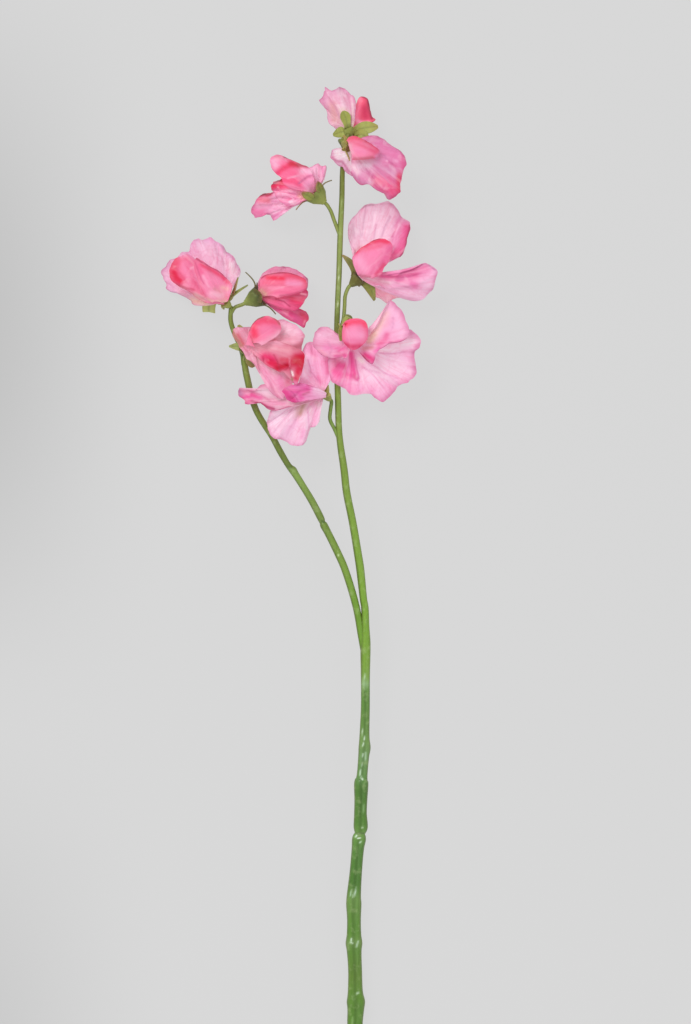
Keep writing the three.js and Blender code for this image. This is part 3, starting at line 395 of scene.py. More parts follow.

# The petals of each bloom:
# rim: the points of its edge, from one side of the claw to the other
# lift, layer and side: how far its claw lies beyond, above and beside the mouth of the calyx
# claw: the place of the claw, where it doesn't lie at the mouth
# throat: the point that its middle bends towards
# bulge and flare: how much its middle stands out and spreads, as a share of its length
# ruffle and waves: the height and number of the waves of its rim
# colours: those of the claw, the blade and the rim
# light: how bright the whole petal is, 1 where it isn't said
# crumple: how strong its wrinkles and veins are, where its kind's own strength isn't meant
# edge: how strong the dark line along its rim is
# tints: patches of colour, each with its strength and radius and the line that it follows; among
# them are painted shade, painted highlights and painted light against the shade that falls on a petal
# folds: ridges and hollows, each with its height and width and the line that it follows
PETALS = {
    "standard_1": {
        "layer": 1.5, "bulge": 0.1, "ruffle": 0.5, "waves": 4,
        "rim": [
            (18, 219.5, 17.5), (15, 222, 16.5), (13.75, 225.5, 15), (13.5, 229, 15), (11.25, 231.5, 14),
            (10, 233.75, 13.5), (11.5, 236, 14), (12.25, 238.5, 14), (12.5, 240.5, 14),
            (14.75, 239.25, 15), (18, 239.25, 15), (20, 240.75, 14), (22.5, 239.75, 14.5),
            (25, 237.5, 16), (27.25, 235, 17.5), (28, 231, 19), (27.75, 227, 20.5), (27, 223.5, 22),
        ],
        "colours": ("ecc4b4", "f3b4ce", "eba3c6"), "light": 0.91,
        "tints": [
            ("e58fb8", 0.5, 1.6, [(12, 237), (11.5, 233), (14, 230)]),
            ("dd84a8", 0.7, 0.9, [(24, 237), (25.3, 230), (26, 224)]),
            ("e593b0", 0.6, 0.8, [(27.3, 236), (27, 230)]),
            ("f7cfe0", 0.6, 1.6, [(21, 236), (23, 229)]),
            ("f8d8e0", 0.6, 0.7, [(26.4, 232), (26.4, 225)]),
            ("eaa6a4", 0.6, 2.2, [(16.5, 231), (17.5, 224)]),
            ("f4d4cc", 0.7, 1.5, [(21, 229), (24.5, 227), (24.8, 221)]),
            ("b8707c", 0.5, 0.6, [(25.3, 226), (25, 221.5)]),
            ("c984a8", 0.5, 0.5, [(19.8, 240.6), (19.8, 238.8)]),
            ("d98fb0", 0.5, 0.5, [(14, 236), (18, 230), (20, 225)]),
        ],
        "folds": [
            (-0.6, 1, [(23.5, 238), (26, 229), (26.5, 222)]),
            (0.5, 1.25, [(20.5, 236), (23, 227)]),
            (-0.5, 0.8, [(15, 236), (19, 226)]),
        ],
    },
    "keel_1": {
        "layer": -0.9, "bulge": 0.14,
        "rim": [
            (28, 223.5, 13.5), (28.25, 228, 11.5), (28.5, 232.5, 10.5), (29.5, 235.25, 10), (31, 236, 10),
            (33, 235.25, 10), (34.5, 233, 9.5), (35.25, 229, 9.5), (36.25, 225.75, 10.5),
            (37.5, 224.25, 11), (35.5, 222.75, 12.5), (32.5, 221.75, 14),
        ],
        "colours": ("ee8cac", "ea5878", "dc4c6a"), "light": 1.14, "edge": 0.6,
        "tints": [
            ("fa7c98", 0.95, 1.6, [(30, 234.5), (29.4, 231)]),
            ("f880a4", 0.9, 1.5, [(28.8, 230), (28.2, 225.5)]),
            ("d0305a", 0.85, 2.0, [(32.4, 230), (32.8, 226)]),
            ("a42848", 0.85, 0.8, [(34.2, 233), (35.1, 228), (35.9, 225)]),
            ("faa4c4", 0.9, 1.1, [(28.5, 223.6), (31, 222.6), (34, 222.8)]),
            ("8c3048", 0.6, 0.45, [(30.5, 236.2), (33.5, 235), (35, 231.5)]),
        ],
    },
    "standard_2": {
        "layer": -0.4, "bulge": 0.1, "ruffle": 0.7, "waves": 4,
        "rim": [
            (30.5, 214.5, 31.5), (34, 215.75, 29.5), (38.5, 215.75, 27.5), (42, 214.25, 26),
            (45.5, 211.5, 25.5), (49.5, 208.5, 26.5), (52, 205.25, 28.5), (53, 201.5, 29.5),
            (51.75, 197.5, 29.5), (50.5, 193.5, 28.5), (50.25, 190, 27.5), (50, 187.5, 27),
            (47.5, 186, 26.5), (44.25, 184, 26.5), (42.75, 186.5, 27.5), (40, 187.75, 28.5),
            (37, 189.5, 30), (34, 191.25, 31), (30, 191.75, 31.5), (27.5, 194.25, 32), (25.25, 197.5, 32),
        ],
        "colours": ("ecc9cc", "e58ab6", "d8709f"),
        "tints": [
            ("e77cb0", 0.7, 4.5, [(42, 212), (48, 208), (50, 203)]),
            ("dd5f92", 0.7, 1.5, [(51.5, 205), (51.8, 199)]),
            ("ee5c8c", 0.9, 3.0, [(39, 193.4), (43.5, 192), (46.5, 188)]),
            ("e6466e", 0.9, 1.6, [(49.5, 196), (49.3, 189)]),
            ("d8487a", 0.6, 0.6, [(36, 192), (40, 189), (43.5, 188)]),
            ("ecc4da", 0.8, 2.6, [(29, 200), (35, 201.5)]),
            ("e6a4c8", 0.6, 1.6, [(38, 203), (42, 199), (47, 197)]),
            ("f6d0dc", 0.7, 1.2, [(25.5, 201), (29, 197.5)]),
            ("d089b0", 0.6, 0.8, [(27, 196), (31, 192.5), (35, 192.5)]),
            ("d77aa8", 0.5, 0.5, [(33, 199), (37, 195)]),
            ("d77aa8", 0.5, 0.5, [(37, 201), (45, 192)]),
            ("d06aa0", 0.5, 0.6, [(42, 206), (43.5, 203.6), (46, 202)]),
            # A painted highlight on the ridge
            ("ffd0e8", 0.9, 0.5, [(43.4, 203.1)]),
            ("f3b6d6", 0.6, 0.8, [(47, 203.5), (48.5, 203)]),
            # Painted shade beneath the hood
            ("e06a80", 0.4, 1.2, [(31, 206), (36, 205)]),
        ],
        "folds": [
            (0.6, 1.25, [(38, 206), (45, 201.5)]),
            (-0.5, 1.5, [(40, 196), (49, 190)]),
            (0.5, 1.5, [(32.5, 194), (46, 186)]),
            (-0.5, 0.8, [(33, 200), (37, 195)]),
        ],
    },
    "keel_2": {
        "lift": 1.4, "layer": 2.2, "bulge": 0.3,
        "rim": [
            (23.25, 213, 36.5), (24.75, 215, 36), (27, 215.5, 35.5), (30, 214.5, 35),
            (33.5, 212.75, 34.5), (37, 210.5, 35), (39.75, 208, 35.5), (39, 205.75, 36.5),
            (36, 204.25, 38), (32, 203.75, 38.5), (28.5, 203.5, 38.5), (26, 203.25, 38),
        ],
        "colours": ("f58ba8", "f884aa", "ee6488"), "light": 0.92, "edge": 0.5,
        "tints": [
            ("ee5672", 0.85, 1.6, [(24.5, 214), (27, 215), (30.5, 214)]),
            ("dc4468", 0.85, 0.9, [(33, 212.8), (37, 210.8), (39.6, 208.6)]),
            ("e8507c", 0.7, 1.5, [(35, 209), (37.6, 207.6)]),
            ("e480b0", 0.95, 1.1, [(40.4, 208.4), (40, 206.4), (38, 205.2)]),
            ("f98fba", 0.8, 2.2, [(28, 208.5), (32, 207.5)]),
            ("f3b0c4", 0.6, 1, [(25, 211), (26, 207)]),
            ("c8687c", 0.7, 0.7, [(27, 204.2), (31, 204.2), (36, 204.8)]),
            ("f06f98", 0.5, 1.5, [(30, 212), (34, 210)]),
            ("ee6a8c", 0.6, 0.8, [(27, 212), (33, 209.6)]),
        ],
        "folds": [(-0.5, 1, [(33, 212), (40, 208)])],
    },
    "wing_left_2": {
        "claw": (26.1, 207.3, 31),
        "rim": [
            (20.5, 209.75, 27.5), (18, 209.5, 27), (16, 208.25, 26.5), (15.5, 206.25, 26.5),
            (16.75, 204, 27), (19, 201.3, 27.5), (21.5, 199.5, 27.5), (23.25, 197.6, 28),
            (26, 195.75, 28.5), (28, 198, 28.5),
        ],
        "colours": ("e8d4cf", "efcbdb", "d98fb4"), "light": 0.96,
        "tints": [
            ("d27aa2", 0.8, 0.8, [(16.3, 205), (18, 203), (21, 203), (22.2, 201.5), (24.5, 198)]),
            ("f6e2ea", 0.8, 1.5, [(18.5, 207.5), (22, 206)]),
            ("dba0bd", 0.6, 0.7, [(20, 200.5), (23, 197.5)]),
            ("c8a0a0", 0.5, 0.8, [(20, 210), (22, 210)]),
        ],
        "folds": [(0.5, 1.25, [(17, 205), (22, 202.5), (26, 198)])],
    },
    "standard_3": {
        "lift": 1.9, "layer": -1.9, "bulge": 0.1, "ruffle": 0.6, "waves": 4,
        "rim": [
            (-6, 192, 17.5), (-13, 188.5, 17), (-15.25, 187, 16), (-19, 187, 14.5), (-21.25, 185, 13),
            (-23.25, 181.5, 11.5), (-24.75, 177.5, 10), (-23, 175.25, 9.5), (-19.5, 176, 10),
            (-16.25, 177.25, 11), (-14.5, 175.5, 11), (-12.5, 174.5, 11), (-10.5, 176, 12),
            (-9.5, 178.5, 13.5), (-5.5, 180, 16), (-1.5, 181.25, 17.5), (2.5, 183.2, 18.5),
        ],
        "colours": ("f0bab0", "f6acd0", "ee8cb8"), "crumple": 1,
        "tints": [
            ("b8304c", 0.95, 1.0, [(-20.5, 186.4), (-18, 186.8), (-15.5, 187.5)]),
            ("702c3c", 0.75, 0.4, [(-21, 186.6), (-17.5, 186.8), (-15.5, 188)]),
            ("c83c5c", 0.9, 1.0, [(-16.4, 186.4), (-14.8, 187)]),
            ("ea788e", 0.85, 1.5, [(-20, 184.2), (-16, 184)]),
            ("f47cb0", 0.8, 2.2, [(-22.5, 179), (-19, 178)]),
            ("f8b0d0", 0.7, 1.3, [(-21.6, 182), (-20.4, 180.6)]),
            ("fabcd8", 0.8, 1.4, [(-12, 181.4), (-7, 181.2)]),
            ("d878a6", 0.6, 0.4, [(-14, 183.6), (-9, 183)]),
            ("b86890", 0.75, 0.45, [(-16.4, 177.4), (-14.6, 177), (-13.2, 176.2)]),
            ("e48cba", 0.8, 1.2, [(-13, 176), (-11, 176.4)]),
            ("f0a8cc", 0.6, 1.2, [(-12, 179), (-9, 179.4)]),
        ],
        "folds": [
            (-0.5, 0.75, [(-14, 184.5), (-4, 184)]),
            (-0.5, 0.75, [(-14, 181.5), (-4, 181)]),
            (0.5, 0.8, [(-20, 182.5), (-15, 182)]),
        ],
    },
    "keel_3": {
        "layer": 1.9, "bulge": 0.25,
        "rim": [
            (6.5, 195.5, 25), (4.5, 199.75, 24.5), (0.5, 201.75, 24), (-4, 204, 23.5), (-8, 205.5, 23.5),
            (-11.5, 206.25, 24), (-14.25, 205.25, 25), (-15.25, 203, 26), (-14, 199.5, 27.5),
            (-11.5, 197, 28.5), (-9.25, 194.75, 29), (-8.25, 191.75, 29), (-4.5, 189.6, 29),
            (1, 188.6, 28.5),
        ],
        "colours": ("f4a4c4", "fa86b0", "f478a4"), "light": 0.96, "crumple": 0.5, "edge": 0.25,
        "tints": [
            ("f9b0d0", 0.95, 2.6, [(-13.2, 203), (-12, 200.6)]),
            ("ee90a8", 0.7, 1.2, [(-12, 205.4), (-7, 205)]),
            ("f04470", 0.95, 1.9, [(-10.6, 197.3), (-8, 199.6), (-4, 201.8)]),
            ("e0304c", 0.95, 1.4, [(-4.5, 201.9), (0, 201)]),
            ("b02c44", 0.95, 0.9, [(-1, 201.6), (3.5, 200.4)]),
            ("704048", 0.7, 0.4, [(-8, 205.4), (-3, 203.8), (1, 202.2), (4.4, 200.6)]),
            ("fb6c9a", 0.9, 2.4, [(-7.6, 196), (-3, 197.4)]),
            ("fa5484", 0.8, 1.7, [(-8, 193.4), (-3, 193.2), (0, 191.4)]),
            ("f06c9c", 0.8, 1.1, [(-7.4, 190.4), (-3, 190), (1, 189.6)]),
            ("f8bcd8", 0.9, 2.0, [(1.5, 198.4), (6, 198)]),
            # Painted light against the shade in the valley here
            ("ffa4d0", 0.95, 2.2, [(3.4, 191.6), (6.5, 194)]),
            ("e070a4", 0.8, 0.45, [(-0.6, 192), (1.8, 194), (4, 195.8), (6.8, 196.3)]),
            ("f8b4d2", 0.6, 0.5, [(-6, 194.6), (-1, 195.8)]),
        ],
        "folds": [
            (-0.5, 1.2, [(-12, 196), (-8, 199), (0, 200)]),
            (0.3, 1.2, [(0, 193.8), (4, 196.4), (8, 196.4)]),
            (-0.3, 0.7, [(0, 192), (4, 194.8), (7.5, 195)]),
        ],
    },
    "wing_left_3": {
        "layer": 0.6, "bulge": 0.2,
        "rim": [
            (-5, 196, 22.5), (-9.5, 194.25, 22), (-12, 193.25, 22), (-14.25, 192.25, 22),
            (-13.75, 189.75, 22.5), (-13, 187.5, 22.5), (-11, 184, 22.5), (-7, 181.5, 22.5),
            (-3, 181.25, 23.5), (0.5, 183.2, 24),
        ],
        "colours": ("f2b4b4", "f8a0c6", "ee88b4"), "crumple": 1.2, "light": 1.01, "edge": 0.5,
        "tints": [
            ("e8305c", 0.97, 2.0, [(-13.4, 191), (-10, 191.8), (-7, 194)]),
            ("8c2840", 0.85, 0.5, [(-14.2, 191.8), (-12, 192.7), (-9.6, 193.8)]),
            ("f85484", 0.9, 1.6, [(-10, 190.4), (-5, 191)]),
            ("ffc0da", 0.8, 1.3, [(-12, 187.6), (-5, 188)]),
            ("d870a0", 0.8, 0.4, [(-12.4, 189), (-5, 187.2), (0, 186.6)]),
            ("d870a0", 0.75, 0.4, [(-13, 185.6), (-5, 184.4), (-1, 184.4)]),
            ("d870a0", 0.65, 0.4, [(-12, 183), (-5, 181.9)]),
            ("ffc0da", 0.7, 0.8, [(-11, 184.6), (-4, 183)]),
            ("ecac98", 0.7, 1.3, [(0, 186), (2, 185)]),
        ],
        "folds": [
            (-0.6, 0.7, [(-11, 189), (-3, 187.2)]),
            (0.5, 0.7, [(-11, 187), (-3, 185.8)]),
            (-0.5, 0.6, [(-12, 185.4), (-3, 184.4)]),
        ],
    },
    "wing_right_3": {
        "layer": -0.6, "bulge": 0.1, "ruffle": 0.5, "waves": 2,
        "rim": [
            (0, 196, 19.5), (2.5, 199, 19), (5, 200.25, 18.5), (7.25, 201.5, 18), (9.5, 202.25, 17.5),
            (11.25, 201, 17), (13, 200.75, 17), (12.75, 197.5, 17.5), (12.25, 195, 18),
        ],
        "colours": ("e48ba6", "f4b0d0", "f0a0c4"), "light": 1.03,
        "tints": [
            ("d08fb4", 0.6, 0.6, [(7, 202), (9, 202.3)]),
            ("e58ab4", 0.6, 0.8, [(11, 200), (11.8, 196)]),
            ("f6c2dc", 0.7, 2, [(7, 199)]),
            ("dd80a8", 0.5, 0.5, [(9.5, 201), (9.5, 196)]),
        ],
        "folds": [(0.7, 1, [(7, 201), (8, 195)])],
    },
    "standard_4": {
        "layer": -0.7, "bulge": 0.1, "ruffle": 0.5, "waves": 4,
        "rim": [
            (27.5, 158, 19), (25.25, 162.25, 16), (24, 166.5, 13.5), (24.25, 171, 11), (26, 175.25, 8.5),
            (29, 178.25, 6.5), (32.25, 181.25, 4), (35.5, 182.25, 2.5), (40, 183, 1), (44, 183.25, 0.4),
            (46.5, 182, 1.5), (49.5, 179, 4), (52, 175, 6.5), (55, 173.25, 8), (55.25, 170.5, 10),
            (53.75, 166, 13), (53, 161, 16), (51.5, 156.75, 18), (48, 154.5, 19), (44, 153, 19.5),
        ],
        "colours": ("f0bcca", "f7c8de", "f6bfda"),
        "tints": [
            ("dca4c0", 0.6, 0.5, [(33, 181), (32, 175), (31, 166)]),
            ("dca4c0", 0.5, 0.5, [(26.5, 172), (27.3, 165)]),
            ("dca0be", 0.6, 0.5, [(38, 172), (37, 164)]),
            ("dc98ba", 0.6, 0.5, [(45, 176), (42, 170), (41, 166)]),
            ("e47cac", 0.85, 2.4, [(50, 174), (48, 168), (45.6, 161)]),
            ("ec6aa2", 0.9, 2.4, [(53, 171), (51.4, 165), (49, 159), (46.5, 156)]),
            ("e04a84", 0.8, 1.2, [(54, 170), (52.8, 163), (50.5, 157.5)]),
            ("b83a68", 0.85, 0.5, [(55, 171.5), (53.6, 164), (52.6, 159), (50, 155.5)]),
            ("fbb0d4", 0.7, 0.5, [(49.6, 172), (47.4, 166), (46.6, 162)]),
            ("e0669a", 0.7, 0.4, [(48.6, 171), (46, 165.6)]),
            # Painted light that offsets the shade at the lower right of the standard
            ("ff78b0", 0.9, 1.6, [(48.6, 158), (46.4, 155.4)]),
            ("e8a0b0", 0.6, 1.1, [(31, 160.4), (28, 158.5)]),
            ("b88498", 0.7, 0.4, [(31.5, 180.6), (33.5, 181.9), (37, 182)]),
        ],
        "folds": [
            (-0.5, 0.7, [(29, 178), (31, 166)]),
            (-0.4, 0.7, [(37, 178), (36, 163)]),
            (-0.5, 0.8, [(46, 176), (41, 165)]),
            (0.5, 0.9, [(50, 173), (48, 160)]),
        ],
    },
    "keel_4": {
        "layer": 2.6, "bulge": 0.35,
        "rim": [
            (26.5, 152.5, 24), (26.25, 155.25, 24), (28.5, 158, 24), (31.5, 160.5, 23.5),
            (34.5, 162.5, 23.5), (37.5, 164, 23.5), (41, 164.5, 24), (44, 163.75, 24.5),
            (46, 161.5, 25.5), (45.75, 157, 27), (44, 153, 28.5), (41.75, 150, 29), (40.5, 146.75, 29),
            (36, 144.5, 28),
        ],
        "colours": ("f490b8", "f687b2", "ee6c98"), "light": 0.95, "edge": 0,
        "tints": [
            ("f04068", 0.95, 1.3, [(28, 158), (31, 160), (35, 162.5), (40, 163.6), (44, 162.8)]),
            ("f4688c", 0.7, 1.3, [(33, 159), (40, 161)]),
            ("fda6cc", 0.85, 2.6, [(29.6, 153.5), (32, 150)]),
            ("fb86b4", 0.6, 2.0, [(36, 157), (40, 157)]),
            ("ea6a9c", 0.95, 1.5, [(45, 160), (43, 155.4), (40.6, 151)]),
            ("f58cb4", 0.6, 0.5, [(42, 158.6), (38.6, 152.6), (36, 148)]),
            ("ec6c9c", 0.5, 0.7, [(41, 157), (37.6, 151), (35.6, 147.4)]),
            ("dc4874", 0.9, 1.0, [(38, 146.6), (40, 149), (42, 151.6)]),
            ("c06078", 0.7, 0.8, [(30, 146), (35, 145.2)]),
            ("8c3c50", 0.6, 0.35, [(27, 157.4), (31, 160.8), (35, 163.2), (40, 164.6)]),
        ],
        "folds": [
            (-0.5, 1, [(35, 145.5), (42, 153)]),
            (0.5, 1, [(33, 147), (40, 158)]),
            (-0.2, 0.9, [(38, 147), (43, 157)]),
        ],
    },
    "wing_right_4": {
        "lift": 1.7, "layer": 1.6, "bulge": 0.1, "ruffle": 0.4, "waves": 2,
        "rim": [
            (41, 146, 25.5), (45, 145.6, 26), (48.5, 146.3, 26), (51, 147.8, 26), (56, 149.4, 25.5),
            (59.5, 150.7, 24.5), (62, 152.2, 24), (65.5, 150.5, 23), (68.75, 148.25, 22),
            (67.25, 142.5, 20), (65.5, 138.5, 17.5), (61.5, 134.5, 15), (55, 133.75, 14), (50, 135, 14.5),
            (44, 138.5, 20), (39.5, 141.5, 25.5),
        ],
        "colours": ("eeb0c2", "f8b4d6", "f6b8da"),
        "tints": [
            ("fcc4e2", 0.85, 3.0, [(52, 137.5), (59, 138), (64, 142)]),
            ("ec669e", 0.92, 2.1, [(41, 146), (46, 145.8), (52, 145.2), (58, 146.4)]),
            ("ee74a8", 0.9, 1.8, [(52, 147.8), (58, 148.6), (63, 150)]),
            ("c04c80", 0.75, 0.35, [(44, 146.4), (50, 147.2), (56, 149), (61, 151.6)]),
            ("d4588e", 0.65, 0.45, [(48, 144), (52, 144.6), (57, 146.4), (61, 147.6)]),
            ("f078b0", 0.9, 2.2, [(50, 143.8), (55, 143.2), (57.4, 141.4)]),
            ("e08cb4", 0.6, 0.5, [(46, 143.4), (52, 141.2), (56, 139.4)]),
            ("e4a0b4", 0.6, 1.2, [(40, 143.5), (44, 142.5)]),
            ("ee90bc", 0.8, 2.0, [(61.6, 146.4), (64.4, 149)]),
            ("b878a0", 0.6, 0.4, [(64.5, 151.5), (67.5, 149)]),
        ],
        "folds": [
            (-0.7, 1.1, [(42.5, 145), (50, 144.2), (58, 145.6)]),
            (0.5, 1, [(45, 140), (57.5, 142), (66, 146)]),
        ],
    },
    "wing_left_4": {
        "lift": 1.6, "layer": -2, "throat": (35.4, 143.4, 16.6),
        "rim": [
            (43, 141.5, 13), (47, 138.5, 10.5), (50, 135, 8), (46.5, 134, 7.5), (44.5, 132.5, 6.5),
            (41.5, 133.75, 8), (38, 135.5, 10.5), (35.5, 138.25, 13),
        ],
        # Its colours and light are raised as painted light against the shade that it lies in
        "colours": ("f8b8c0", "f4b4c8", "f4c0d0"), "light": 1.12,
        "tints": [
            ("fff0f4", 0.95, 0.6, [(41, 140.8), (42, 140.5)]),
            ("e89098", 0.7, 1.2, [(35.5, 141), (41, 142)]),
            ("f8a0b4", 0.6, 1.2, [(44, 138), (47, 136)]),
        ],
    },
    "standard_5": {
        "layer": -2.1, "throat": (28.5, 107, 27), "ruffle": 0.8, "waves": 5,
        "rim": [
            (40, 115, 30), (48, 115, 29), (53, 118, 28), (55, 119, 27), (57.5, 117.25, 26),
            (60.5, 114, 25), (59.25, 111, 24.5), (57.5, 108, 24), (57.5, 103, 23.5), (58.25, 98.5, 23),
            (56.75, 95, 23), (54.5, 93, 23.5), (50, 92, 24), (48, 89.25, 24), (46, 86.25, 23.5),
            (41.5, 83.5, 23), (37.5, 85, 23), (35, 87, 24), (29, 86.5, 25), (25, 87, 26),
            (22, 89.5, 26.5), (19, 91.5, 27), (16.25, 93, 27.5), (14.4, 98.5, 28), (14.2, 104, 28.5),
            (16, 108, 28.5),
        ],
        "colours": ("f2b0cc", "f6bedb", "f0a2ca"), "light": 1.04,
        "tints": [
            ("f9cee4", 0.85, 5.0, [(36, 97), (42, 101), (50, 99)]),
            # Painted light that offsets the shadow of the right wing
            ("ffe2f0", 0.9, 2.6, [(40, 109), (46, 110), (56, 113)]),
            ("f48cbc", 0.85, 2.6, [(18, 95), (24, 91), (26, 89)]),
            ("f064a2", 0.93, 2.2, [(17, 98.4), (21, 96.4), (25, 96)]),
            ("e2508e", 0.97, 2.6, [(18, 103), (19.4, 101), (22.4, 100.6)]),
            ("ee4c96", 0.97, 1.6, [(25.4, 107), (26.2, 101), (27, 97)]),
            ("dc3c84", 0.95, 1.1, [(26.8, 95.8), (28.6, 94.6)]),
            ("d04484", 0.5, 0.4, [(27.6, 104), (28.4, 99), (29.6, 94.8)]),
            ("f490c4", 0.7, 0.5, [(23.8, 104), (24, 99)]),
            ("c84c84", 0.5, 0.4, [(17.4, 104.4), (18, 100.6)]),
            ("f6d8dc", 0.8, 1.1, [(29.4, 104.6), (31.4, 103)]),
            ("e490bc", 0.6, 0.4, [(38, 107.5), (46, 107), (52, 108)]),
            ("e490bc", 0.6, 0.4, [(33, 104), (42, 97.6), (49, 94.6)]),
            ("e490bc", 0.5, 0.4, [(31, 101), (36, 97), (42, 90)]),
            ("e490bc", 0.5, 0.4, [(31, 100), (36, 98.6), (40, 97.5)]),
            ("f09cc6", 0.7, 2.0, [(30, 90), (36, 88)]),
            ("e894c0", 0.5, 1.2, [(56.6, 97), (57, 103), (58, 110)]),
        ],
        "folds": [
            (-0.5, 1.2, [(31, 103), (36, 94), (39, 86)]),
            (0.5, 1.5, [(33, 106), (44, 98), (50, 93)]),
            (-0.4, 0.9, [(36, 109), (47.5, 108), (57, 107)]),
            (0.35, 1.2, [(27, 104), (27.4, 100), (28.6, 95)]),
            (-0.4, 0.9, [(23, 103), (23.4, 96)]),
            (-0.5, 0.8, [(34, 99), (46, 91)]),
        ],
    },
    "keel_5": {
        "claw": (22, 121.8, 34.6), "bulge": 0.38, "flare": 0.1,
        "rim": [
            (21.6, 120.8, 36.8), (22.8, 123, 36.5), (25, 124.2, 36.5), (30.5, 124.2, 36.5),
            (32.8, 122.8, 36.5), (33.8, 118.8, 37), (33.6, 114.5, 37.5), (30.5, 110.5, 38),
            (26.5, 108.8, 38.5), (23.5, 110.5, 38.5), (21.4, 113.5, 38), (21.2, 118, 37),
            (21.7, 120.9, 36.9),
        ],
        "colours": ("f688ae", "f887b2", "f46c94"), "light": 0.93, "edge": 0.3,
        "tints": [
            ("fa4c74", 0.95, 1.6, [(23, 121.6), (26, 122.8), (31, 122.8), (33, 121)]),
            ("f87098", 0.6, 0.8, [(22, 119), (22, 114)]),
            ("f06c98", 0.6, 0.8, [(33.8, 119), (33, 115)]),
            ("fc9cc6", 0.9, 2.4, [(26, 117), (30.5, 116)]),
            ("f27cac", 0.6, 1.2, [(24, 113.6), (31, 113)]),
            # The deep crimson along the bottom of the hood is painted shade
            ("dc3c6c", 0.9, 1.2, [(22.5, 111.6), (26, 110.4), (30, 110.6)]),
        ],
    },
    "wing_right_5": {
        "layer": -0.7, "throat": (29, 109, 31.5), "ruffle": 0.4, "waves": 3,
        "rim": [
            (35.5, 117.5, 32.5), (38.25, 121, 32.5), (40.5, 125.25, 32), (42.5, 129.75, 31.5),
            (44.25, 133, 30.5), (45.75, 133.5, 30), (48.25, 131.25, 30), (51, 128, 30.5),
            (53, 123.75, 31), (54.25, 119.75, 31.5), (54.25, 116.5, 32), (52.25, 113.75, 32.5),
            (48.75, 112.5, 33), (45.5, 112.5, 33.5), (43, 110.75, 34), (39.75, 108.75, 34.5),
            (37.5, 106.25, 35), (37.25, 103.5, 35), (36, 102, 35), (33.75, 103.25, 35), (31.5, 106, 35),
        ],
        "colours": ("ecb8b8", "f6aed2", "f09ec6"), "light": 0.98, "crumple": 0.45,
        "tints": [
            ("fabcdc", 0.8, 3, [(46, 129), (49, 123), (50, 118)]),
            # Painted light against the shade in the groove along the left edge
            ("fccccc", 0.95, 2.1, [(35.8, 114.5), (39, 119.8), (42.6, 126.8)]),
            ("f9c4dc", 0.8, 1.0, [(37.6, 120.5), (41, 126), (44.6, 132.5)]),
            ("eebcb0", 0.8, 1.4, [(34.6, 113), (37, 116.6)]),
            ("f6b0c8", 0.6, 1.2, [(43.4, 126), (43, 121)]),
            ("ee74a6", 0.9, 1.6, [(39.5, 111.6), (42.5, 113.6), (43.4, 116.4)]),
            ("f078ae", 0.6, 1.0, [(45, 112.8), (50, 113.4)]),
            ("e63a84", 0.95, 1.8, [(32.5, 106), (36, 104)]),
            ("f06cae", 0.8, 1.0, [(37.5, 108), (39.5, 109.5)]),
            ("c84078", 0.85, 0.7, [(29, 107), (32, 105.2), (34.4, 103.2)]),
            ("e48c98", 0.7, 1.2, [(32, 109.5), (36, 110)]),
            ("d878a4", 0.6, 0.4, [(45, 112.6), (50, 112.9), (53.5, 115)]),
            ("dc94bc", 0.6, 0.4, [(46, 119), (46.8, 122), (46.4, 125)]),
        ],
        "folds": [
            (-0.5, 1.25, [(36, 111.5), (45, 116.5), (53, 119)]),
            (0.4, 1.5, [(35, 108), (42.5, 111.5), (52, 113)]),
            (-0.4, 0.8, [(45, 118), (48, 127)]),
        ],
    },
    "wing_left_5": {
        "layer": 0.6, "throat": (26, 110, 33.5), "ruffle": 0.4, "waves": 2,
        "rim": [
            (20.5, 113.5, 33.5), (18.5, 116.5, 33), (16, 119, 32.5), (13, 120.25, 32), (10, 120, 31.5),
            (7.75, 118, 31.5), (6.75, 115, 31.5), (6.75, 111.5, 32), (8.5, 108.25, 33), (11.5, 106, 33.5),
            (15.5, 105, 34), (19.5, 105, 34.5), (23, 104.5, 35),
        ],
        "colours": ("f0b0c8", "f4a8ca", "ee9cc0"), "light": 0.95,
        "tints": [
            ("f9c0dc", 0.8, 2.4, [(9, 116), (13.6, 117)]),
            ("f48cc0", 0.8, 1.8, [(13, 110), (18, 110)]),
            ("f070aa", 0.85, 1.6, [(20, 109), (22.6, 110)]),
            ("e85c9a", 0.9, 1.2, [(18, 106), (23, 106)]),
            ("e390b8", 0.6, 0.5, [(14, 113), (16, 109), (15, 107)]),
            ("f4a0b8", 0.5, 0.8, [(9.5, 109), (13, 106.4)]),
        ],
        "folds": [
            (-0.6, 1.25, [(21, 108), (14, 114), (9, 118)]),
            (0.5, 1, [(22, 106), (14, 107)]),
        ],
    },
    "standard_6": {
        "lift": 2.3, "layer": 0.7, "side": 0.2, "bulge": 0.1, "ruffle": 0.6, "waves": 4,
        "rim": [
            (-7.5, 82, 25.5), (-14.5, 79.5, 24.5), (-15.5, 75.5, 24), (-16.5, 71.5, 23.5),
            (-15.75, 68.5, 23.5), (-14, 65.5, 23.5), (-10, 64.5, 24), (-6.5, 62.5, 24.5),
            (-3, 61.25, 24.5), (0.5, 61.25, 24.5), (2.5, 62.5, 24.5), (3.75, 67, 24), (5, 70, 24),
            (7.5, 70.5, 26), (9.5, 73, 26.6), (9.5, 78, 26.3), (9.25, 82, 25.6),
        ],
        # The brownish claw colour is painted shade in the throat under the keel
        "colours": ("d0a8a0", "f6cae0", "f2b4d4"), "light": 1,
        "tints": [
            ("f8d6e8", 0.8, 3.4, [(-13, 72), (-8, 77)]),
            ("fbd4e8", 0.7, 2.2, [(-10, 80), (-6, 80.6)]),
            ("f2b2d4", 0.8, 2.8, [(-6, 68), (-3, 72)]),
